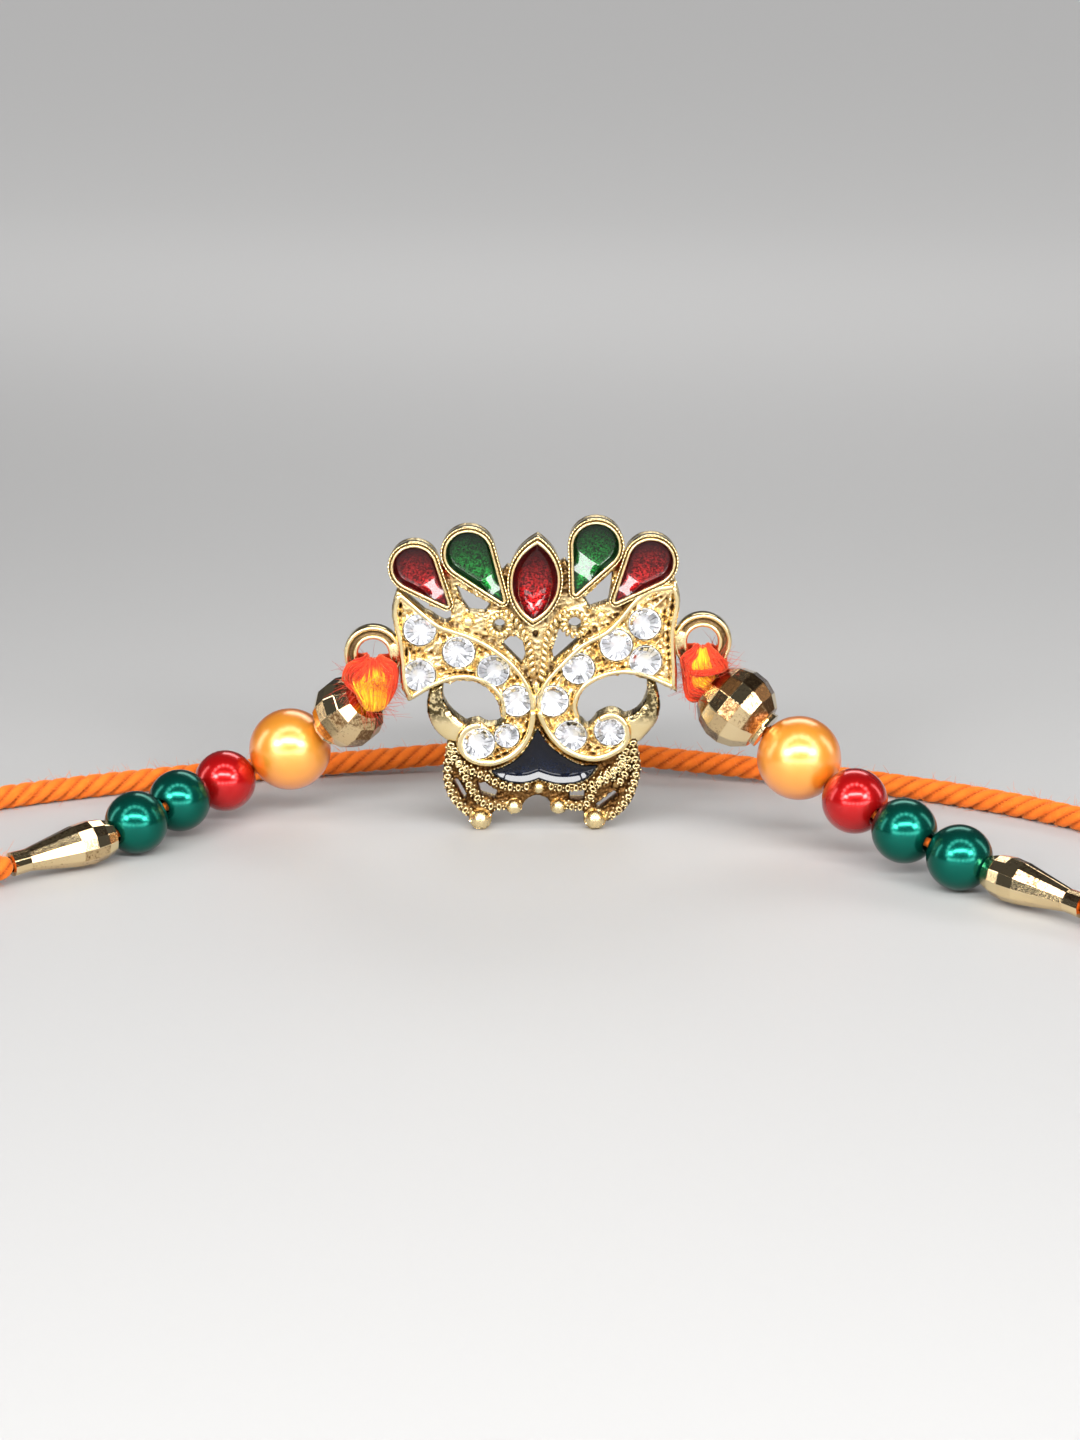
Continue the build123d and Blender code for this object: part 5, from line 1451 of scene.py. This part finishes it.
# The clear body: table, crown and girdle over a plain cone. Under it a foil cup whose facets are parted by
# narrow strips: two corners a facet, and a band of its own for the middle stretch, where the strips are
# painted dark as shade. Each facet's wide part is also darkened at random as painted shade.
# The pit's middle is shifted a little, and each ring by its share of that.
def makeStones(clear, foil):
    sides, shadeLine, gap = (stoneShape[key] for key in ("sides", "shadeLine", "gap"))
    step = 2 * np.pi / sides
    shades = np.array([shade for _, _, _, shade in cupRings])[:, None, None]
    cupParts, cupShadeLines = [], []
    for name, (x, z, radius) in stoneTable.items():
        size = radius / stoneShape["fullRadius"]
        middle = np.array((x, z))
        girdle = stoneShape["girdle"]
        crown = girdle + stoneShape["girdleHeight"]
        top = crown + stoneShape["crown"] * size
        pit = girdle - stoneShape["pavilion"] * size
        turn = randomDraws.uniform(0, step)
        shift = randomDraws.normal(0, stoneShape["culetShift"], 2) * size
        angle = turn + step * np.arange(sides)
        rings = [(middle, top, 0.001), (middle, top, stoneShape["table"]),
                 (middle, crown, stoneShape["side"]), (middle, girdle, stoneShape["side"]),
                 (middle + shift, pit + gap, stoneShape["culet"]), (middle + shift, pit + gap, 0.001)]
        points = np.concatenate([stoneRing(centre, depth, radius * share, angle)
                                 for centre, depth, share in rings])
        faces = gridFaces(len(rings), sides, wrapColumns=True)
        stone = makePiece("stone" + sceneName(name, 1), points, faces, clear, smooth=False)
        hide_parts(name)
        shares = np.array((shadeLine, 1 - shadeLine, 1 - shadeLine, 1.0))
        corners = turn + step * (np.arange(sides)[:, None] + shares).ravel()
        cup = [stoneRing(middle + shift * (1 - share), pit + (girdle - pit) * share - gap - back,
                         radius * (share + wider), corners) for share, back, wider, _ in cupRings]
        dark = np.zeros((len(cup), sides, 4))
        # Painted shade: a random darkness on each facet, and the narrow strips dark in the middle band.
        dark[:, :, :2] = randomDraws.uniform(0, 0.55, (sides, 1)) * shades
        dark[2:4, :, 2:] = 1.0
        cupShadeLines.append(dark.ravel())
        faces = gridFaces(len(cup), sides * 4, wrapRows=True, wrapColumns=True)
        cupParts.append((np.concatenate(cup), faces))
    points, faces = joinParts(cupParts)
    makePiece("stoneFoils", points, faces, foil, smooth=False,
              values={"shadeLine": np.concatenate(cupShadeLines)})


makeStones(*makeStoneMaterials())
print("stones ready")


# Bead strings

# Each string's corners, from its side ring to its cone's tail.
strings = {
    "left": np.array([(-16.52, 9.78, 13.21), (-20.43, 13.0, 9.14), (-28.21, 14.08, 4.55),
                      (-33.05, 10.14, 3.54), (-36.06, 4.91, 3.56), (-40.01, 0.28, 2.46),
                      (-48.4, -6.01, 1.9)]),
    "right": np.array([(16.75, 9.93, 14.3), (21.97, 7.5, 10.5), (27.83, 3.25, 6.59),
                       (31.79, -1.23, 4.82), (36.16, -5.5, 3.73), (40.93, -9.13, 2.41),
                       (48.2, -16.69, 1.9)]),
}
# Pearls: name, stretch of the string, and the diameters of the left and the right one.
pearlTable = [("orange_pearl", 1, 8.0, 8.0), ("red_pearl", 2, 6.0, 6.2), ("green_pearl_inner", 3, 6.0, 6.1),
              ("green_pearl_outer", 4, 6.0, 6.1)]
pearlShape = {"rows": 44, "columns": 72, "lip": 0.22, "lipDepth": 0.3, "lipRows": 5}
boreRadius = 0.75


# Lustre: a coloured metallic sheen that blurs the lamps into a soft ring, under a thin clear skin. Its colour
# is lighter in the middle, which faces the camera, as painted light, and darker at the rim as painted shade.
def makePearlMaterial(name, deep, rim, metal, coat, coatIor, roughness, coatRoughness):
    material, tree, shader = newMaterial(name, roughness=roughness, metallic=metal, coat=coat,
                                         coatRoughness=coatRoughness, coatIor=coatIor, specular=0.1)
    edge = addNode(tree, "ShaderNodeLayerWeight", None, {"Blend": 0.35}, "Facing")
    speck = noiseOn(tree, 4200.0, 3.0, 0.7)
    streak = noiseOn(tree, 420.0, 3.0)
    # Painted light and shade: the facing middle takes the lighter colour, the rim the darker.
    base = mixColours(tree, edge * 0.85 + streak * 0.15, deep, rim)
    linkTo(tree, shader, baseColor=base, normal=bumpFrom(tree, speck, 0.14, 0.02))
    return material


# Colour at the middle, lighter as painted light, and at the rim, darker as painted shade, then metal, coat
# and its index, roughness and the coat's roughness.
pearlLooks = {
    "orange": ((0.95, 0.4, 0.02), (0.8, 0.13, 0.004), 0.5, 1.0, 2.1, 0.3, 0.27),
    "red": ((0.5, 0.004, 0.005), (0.28, 0.001, 0.001), 0.55, 0.9, 1.42, 0.25, 0.14),
    "green": ((0.004, 0.15, 0.11), (0.001, 0.03, 0.017), 0.85, 0.15, 1.5, 0.22, 0.1),
}
pearlMaterials = {colour: makePearlMaterial(colour + "Pearl", *looks)
                  for colour, looks in pearlLooks.items()}


# A pearl's profile: a half circle whose ends turn in at the bore along quarter ellipses, with lips.
def pearlProfile(radius):
    lip, depth = pearlShape["lip"], pearlShape["lipDepth"]
    first = math.asin((boreRadius + lip) / radius)
    sweep = np.linspace(first, np.pi - first, pearlShape["rows"])
    outer = np.stack([-radius * np.cos(sweep), radius * np.sin(sweep)], 1)
    bend = np.linspace(0.15, 1, pearlShape["lipRows"])[:, None] * np.pi / 2
    along, inward = (1 - np.cos(bend)) * (depth, 0), np.sin(bend) * (0, lip)
    profile = np.concatenate([(outer[0] + along - inward)[::-1], outer, outer[-1] - along - inward])
    return np.concatenate([profile, profile[:1]])


# Each pearl sits in the middle of its stretch of the string, bored along it.
def makePearls():
    for index, side in enumerate(strings):
        for kind, stretch, *diameters in pearlTable:
            start, end = strings[side][stretch], strings[side][stretch + 1]
            points, faces = turnedShape(pearlProfile(diameters[index] / 2), pearlShape["columns"],
                                        (start + end) / 2, end - start)
            name, colour = kind + "_" + side, kind.split("_")[0]
            pearl = makePiece(sceneName(name), points, faces, pearlMaterials[colour])
            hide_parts(name)


makePearls()
print("pearls ready")


# Gold beads and cones

# Share of the half length and of the radius at each row's edge, as in the part.
beadRows = [(-1.0, 0.62), (-0.64, 0.87), (-0.22, 1.0), (0.22, 1.0), (0.64, 0.87), (1.0, 0.62)]
coneRows = [(0.0, 0.74), (0.1, 0.92), (0.22, 1.0), (0.36, 0.955), (1.0, 0.54)]
# Gold beads, on each string's first stretch: length and radius.
goldTable = {"left": (6.35, 3.5), "right": (6.75, 3.85)}
goldShape = {"collar": 0.6, "collarRadius": 1.9, "beadSides": 12, "coneSides": 12, "coneLength": 10.4,
             "coneRadius": 2.1, "coneGap": 0.1, "edge": 0.05}


# A faceted shape: each facet has four corners of its own, set in from the facet's edges, so that narrow
# strips between the facets round the edges. Its tone is one number a facet, a painted reflection: dark on the
# facets that face up and those that face down, random besides.
def facetedShape(rows, count, start, axis):
    axis = unit(axis)
    across = unit(np.cross(axis, (0.0, 0.0, 1.0)))
    other = np.cross(axis, across)
    angle = 2 * np.pi * np.arange(count + 1) / count
    away = np.cos(angle)[:, None] * across + np.sin(angle)[:, None] * other
    rows = np.array(rows)
    corner = start + rows[:, 0, None, None] * axis + rows[:, 1, None, None] * away
    lines, tones = [], []
    for low, high in zip(corner, corner[1:]):
        length = np.linalg.norm(high - low, axis=1).mean()
        inset = min(0.3, goldShape["edge"] / max(length, 1e-6))
        tone = np.clip(0.5 * np.abs(away[:-1, 2]) + randomDraws.uniform(-0.3, 0.55, count), 0, 1)
        for share in (inset, 1 - inset):
            ring = low + share * (high - low)
            sides = ring[1:] - ring[:-1]
            gap = goldShape["edge"] / np.linalg.norm(sides[0])
            lines.append(np.stack([ring[:-1] + gap * sides, ring[1:] - gap * sides], 1).reshape(-1, 3))
            tones.append(np.repeat(tone, 2))
    for end, at in ((0, rows[0, 0]), (len(lines), rows[-1, 0])):
        middle = start + at * axis
        ring = lines[0] if end == 0 else lines[-1]
        ring = ring - ((ring - middle) @ axis)[:, None] * axis
        toward = ring - middle
        bore = middle + toward / np.linalg.norm(toward, axis=1)[:, None] * boreRadius
        lines.insert(end, bore)
        tones.insert(end, np.full(len(bore), 0.5))
    faces = gridFaces(len(lines), count * 2, wrapRows=True, wrapColumns=True)
    return np.concatenate(lines), faces, np.concatenate(tones)


# Mirror gold with dark speckled facets, their tone a painted dark reflection.
def makeGoldMaterial():
    material, tree, shader = newMaterial("mirrorGold", metallic=1.0)
    tone = attributeOf(tree, "tone")
    grain = noiseOn(tree, 3200.0, 4.0, 0.8)
    cloud = noiseOn(tree, 420.0, 2.0)
    speck = rangeOf(tree, grain * 0.6 + tone * 0.28 + cloud * 0.2, 0.5, 0.6)
    # Painted reflection: the facet's tone darkens it and adds specks.
    base = mixColours(tree, tone, (0.9, 0.72, 0.42), (0.42, 0.23, 0.08))
    base = mixColours(tree, speck * 0.9, base, (0.14, 0.06, 0.02))
    linkTo(tree, shader, baseColor=base, roughness=0.04 + 0.15 * speck,
           normal=bumpFrom(tree, grain, 0.3, 0.03))
    return material


# The beads, each in the middle of its stretch with a collar at its outer end, and the cones, which start
# a gap past the last corner but one.
def makeGold(material):
    collar = goldShape["collar"]
    for side, (length, radius) in goldTable.items():
        name = "gold_bead_" + side
        start, end = strings[side][:2]
        axis = unit(end - start)
        start = start + axis * (np.linalg.norm(end - start) - length) / 2
        rows = [((length - collar) * (1 + along) / 2, radius * share) for along, share in beadRows]
        rows += [(length - collar + 0.02, goldShape["collarRadius"]), (length, goldShape["collarRadius"])]
        points, faces, tones = facetedShape(rows, goldShape["beadSides"], start, axis)
        bead = makePiece(sceneName(name), points, faces, material, smooth=False,
                         values={"tone": tones})
        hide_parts(name)
    for side, line in strings.items():
        axis = unit(line[6] - line[5])
        length, radius = goldShape["coneLength"], goldShape["coneRadius"]
        rows = [(length * along, radius * share) for along, share in coneRows]
        points, faces, tones = facetedShape(rows, goldShape["coneSides"],
                                            line[5] + axis * goldShape["coneGap"], axis)
        cone = makePiece("goldCone" + side.title(), points, faces, material, smooth=False,
                         values={"tone": 0.6 * tones})
        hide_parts("gold_cone_" + side)


goldMaterial = makeGoldMaterial()
makeGold(goldMaterial)
print("gold ready")


# Thread inside the beads: a thin plied yarn

beadThread = {"radius": 0.44, "plies": 3, "pitch": 2.4, "plyDepth": 0.15, "columns": 14}


# One thread along each whole string.
def makeBeadThreads():
    for side, points in strings.items():
        line = evenSteps(smoothCorners(points), 0.2)
        shape, faces, shadeLine = plyTube(line, *beadThread.values())
        thread = makePiece("beadThread" + side.title(), shape, faces, yarnMaterial,
                           values={"shadeLine": shadeLine})
        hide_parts("bead_thread_" + side)


# A line whose corners are rounded: quadratic arcs that leave the runs a little way from each corner.
def smoothCorners(points, reach=1.1):
    line = [points[0]]
    share = np.linspace(0, 1, 9)[:, None]
    for before, corner, after in zip(points, points[1:], points[2:]):
        run, out = unit(corner - before) * reach, unit(after - corner) * reach
        arc = (1 - share) ** 2 * (corner - run) + 2 * share * (1 - share) * corner
        line.extend(arc + share ** 2 * (corner + out))
    line.append(points[-1])
    return np.array(line)


makeBeadThreads()
print("bead threads ready")


# Thread wound on the side rings

# For each side: its ring, the yellow patch from one place across the wrap to another (none on the left),
# the yellow wedge's middle and its half widths above and below, the count of binding turns, the strands'
# angle over the ring, and their half widths at the waist, before the bead and at the bead.
wrapTable = {
    "left": {"ring": sideRings[0], "patch": (-9, -9), "wedge": (0.1, 0.2, 0.72), "binding": 0, "spread": 72.0,
             "waist": 2.6, "fan": 1.8, "end": 0.85},
    "right": {"ring": sideRings[1], "patch": (-0.45, 0.35), "wedge": (-0.02, 0.5, 0.62), "binding": 46,
              "spread": 56.0, "waist": 2.05, "fan": 2.35, "end": 1.6},
}
wrapShape = {
    "strands": 52, "fewerInward": 8, "layers": 3, "layerDepth": 0.14, "strandRadius": 0.1, "columns": 5,
    "rows": 24, "ringY": 9.62, "unevenAcross": 0.02, "jitter": 0.07, "bandDrop": 2.7,
    # Over the ring: distances from its middle, and how far before or behind it.
    "arcs": [(0.75, 0.0), (1.35, 1.0), (2.35, 1.5)],
    "waistShare": 0.35, "waistDrop": 2.75, "waistDepth": 1.75, "fanPlace": -1.05, "endPlace": 0.12,
    "wedgeEdge": 0.16, "wedgeStart": 0.2, "boundWedgeStart": 0.52, "wedgeUneven": 0.09,
    "patchShares": (0.08, 0.52),
    "hairs": 420, "hairRoot": 2.2, "hairLength": (0.5, 2.8), "hairRadius": 0.022,
}
# The binding: turns about the waist, with half sizes, how uneven they are and how they slant.
binding = {"share": 0.3, "reachX": 2.05, "reachY": 1.8, "uneven": (-0.08, 0.12), "band": 0.32, "slant": 0.12,
           "lean": 0.25, "rows": 26, "thinner": 0.9}


# Smooth paths through control points: strands by points by 3, a cubic through each four neighbours.
def bentPaths(controls, rows):
    count = controls.shape[1]
    padded = np.concatenate([2 * controls[:, :1] - controls[:, 1:2], controls,
                             2 * controls[:, -1:] - controls[:, -2:-1]], 1)
    at = np.linspace(0, count - 1, rows)
    k = np.minimum(at.astype(int), count - 2)
    u = (at - k)[None, :, None]
    p0, p1, p2, p3 = (padded[:, k + n] for n in range(4))
    return 0.5 * (2 * p1 + (p2 - p0) * u + (2 * p0 - 5 * p1 + 4 * p2 - p3) * u ** 2
                  + (3 * p1 - p0 - 3 * p2 + p3) * u ** 3)


# Fuzzy thread, red or yellow by its dye, in two tones of each.
def makeWrapMaterial():
    material, tree, shader = newMaterial("woundThread", roughness=0.8, sheen=0.5, sheenRoughness=0.4,
                                         sheenTint=(1.0, 0.6, 0.3), specular=0.3)
    dye = attributeOf(tree, "dye")
    tone = 0.6 * attributeOf(tree, "tone") + 0.4 * noiseOn(tree, 1500.0, 3.0)
    red = mixColours(tree, tone, (0.4, 0.006, 0.006), (0.86, 0.07, 0.015))
    yellow = mixColours(tree, tone, (0.8, 0.22, 0.006), (0.95, 0.6, 0.02))
    fibre = noiseOn(tree, 7000.0, 2.0, 0.7)
    base = mixColours(tree, dye, red, yellow)
    linkTo(tree, shader, baseColor=base, normal=bumpFrom(tree, fibre, 0.5, 0.05))
    return material


# One layer of strands before or behind the ring. Each strand runs from the ring's hole over its edge,
# through the waist and on to the bead; u is its place across the layer, from -1 to 1, and inner layers
# are narrower. Its dye follows the wedge and the patch along it.
def wrapLayer(facts, face, layer, bead, toward):
    ringX, ringZ = facts["ring"]
    rows, midY = wrapShape["rows"], wrapShape["ringY"]
    level = unit(np.array((1.0, 0, 0)) - toward[0] * toward)
    depthward = np.cross(level, toward)
    depthward = depthward * np.sign(depthward[1])
    count = wrapShape["strands"] - wrapShape["fewerInward"] * layer
    u = np.linspace(-1, 1, count) + randomDraws.normal(0, wrapShape["unevenAcross"], count)
    jitter = randomDraws.normal(0, wrapShape["jitter"], (5, 3, count))
    jitter = np.concatenate([jitter, jitter[-1:]])
    turn = np.radians(facts["spread"]) * u
    thin = 1 - wrapShape["layerDepth"] * layer / 2
    fullness = np.sqrt(np.clip(1 - u ** 2, 0, 1))
    controls = [np.stack([ringX + radius * thin * np.sin(turn), midY + face * reach * thin + 0 * u,
                          ringZ - radius * thin * np.cos(turn)], 1) for radius, reach in wrapShape["arcs"]]
    share = wrapShape["waistShare"]
    below = (1 - share) * np.array((ringX, midY, ringZ)) + share * bead
    below[2] = ringZ - wrapShape["waistDrop"]
    controls.append(below + np.outer(facts["waist"] * thin * u, (1, 0, 0.12 * np.sign(bead[0])))
                    + np.outer(face * wrapShape["waistDepth"] * thin * (0.3 + 0.7 * fullness), (0, 1, 0)))
    for place in ("fan", "end"):
        around = np.outer(u, level) + np.outer(face * fullness, depthward)
        controls.append(bead + wrapShape[place + "Place"] * toward + facts[place] * thin * around)
    paths = bentPaths(np.stack(controls, 1) + jitter.transpose(2, 0, 1), rows)
    shares = np.linspace(0, 1, rows)
    shape = manyTubes(paths, np.full((count, rows), wrapShape["strandRadius"]), wrapShape["columns"])
    centre, top, bottom = facts["wedge"]
    half = top + (bottom - top) * np.clip((shares - 0.3) / 0.4, 0, 1)
    start = wrapShape["boundWedgeStart" if facts["binding"] else "wedgeStart"]
    own = randomDraws.normal(0, wrapShape["wedgeUneven"], count)[:, None]
    inWedge = np.clip((half[None] - np.abs(u[:, None] + own - centre)) / wrapShape["wedgeEdge"] + 0.5, 0, 1)
    inWedge = inWedge * np.clip((shares[None] - start) / 0.12, 0, 1)
    low, high = facts["patch"]
    first, last = wrapShape["patchShares"]
    inPatch = (u[:, None] > low) & (u[:, None] < high) & (shares[None] > first) & (shares[None] < last)
    dye = np.maximum(inWedge, inPatch) * randomDraws.uniform(0.8, 1, count)[:, None]
    dye = np.concatenate([dye[:, :1], dye, dye[:, -1:]], 1)
    tone = np.repeat(randomDraws.uniform(0, 1, count), rows + 2)
    return shape, np.repeat(dye.reshape(-1), wrapShape["columns"]), np.repeat(tone, wrapShape["columns"])


# The red binding: ellipses about the waist, each with its own height, size and slant.
def wrapBinding(facts, bead):
    ringX, ringZ = facts["ring"]
    count, share = facts["binding"], binding["share"]
    lift = randomDraws.uniform(-binding["band"], binding["band"], count)
    angle = np.linspace(0, 2 * np.pi, binding["rows"])[None, :]
    reachX = binding["reachX"] + randomDraws.uniform(*binding["uneven"], (count, 1))
    reachY = binding["reachY"] + randomDraws.uniform(*binding["uneven"], (count, 1))
    slant = randomDraws.uniform(-binding["slant"], binding["slant"], (count, 1))
    paths = np.stack([(1 - share) * ringX + share * bead[0] + reachX * np.cos(angle),
                      wrapShape["ringY"] + reachY * np.sin(angle),
                      ringZ - wrapShape["bandDrop"] + lift[:, None] + slant * np.cos(angle)
                      + binding["lean"] * np.cos(angle)], -1)
    radius = np.full(paths.shape[:2], wrapShape["strandRadius"] * binding["thinner"])
    shape = manyTubes(paths, radius, wrapShape["columns"])
    tone = randomDraws.uniform(0, 1, count)
    return shape, np.zeros(len(shape[0])), np.repeat(tone, (binding["rows"] + 2) * wrapShape["columns"])


# Each wrap: its layers before and behind the ring, its binding if any, a core that fills it, and hairs.
def makeWraps():
    material = makeWrapMaterial()
    for side, facts in wrapTable.items():
        ringX, ringZ = facts["ring"]
        midY = wrapShape["ringY"]
        bead = strings[side][0]
        toward = unit(strings[side][1] - bead)
        layers = [wrapLayer(facts, face, layer, bead, toward)
                  for face in (-1, 1) for layer in range(wrapShape["layers"])]
        if facts["binding"]:
            layers.append(wrapBinding(facts, bead))
        stations = np.array([[ringX, midY, ringZ - 1.55], [0.6 * ringX + 0.4 * bead[0], midY, ringZ - 2.4],
                             bead - 0.9 * toward, bead - 0.05 * toward])
        coreLine = evenSteps(stations, 0.3)
        share = np.linspace(0, 1, len(coreLine))
        core = tubeAlong(coreLine, np.interp(share, (0, 0.4, 0.75, 1), (1.0, 1.5, 1.6, 1.2)), 20)
        hairs = hairsOn(evenSteps(stations, 0.2), wrapShape["hairRoot"], wrapShape["hairs"],
                        wrapShape["hairLength"], wrapShape["hairRadius"])
        for shape in (core, hairs):
            count = len(shape[0])
            layers.append((shape, np.zeros(count), np.full(count, 0.3)))
        parts, dyes, tones = zip(*layers)
        points, faces = joinParts(parts)
        wrap = makePiece("ringWrap" + side.title(), points, faces, material,
                         values={"dye": np.concatenate(dyes), "tone": np.concatenate(tones)})
        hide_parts("ring_wrap_" + side)


makeWraps()
print("wraps ready")
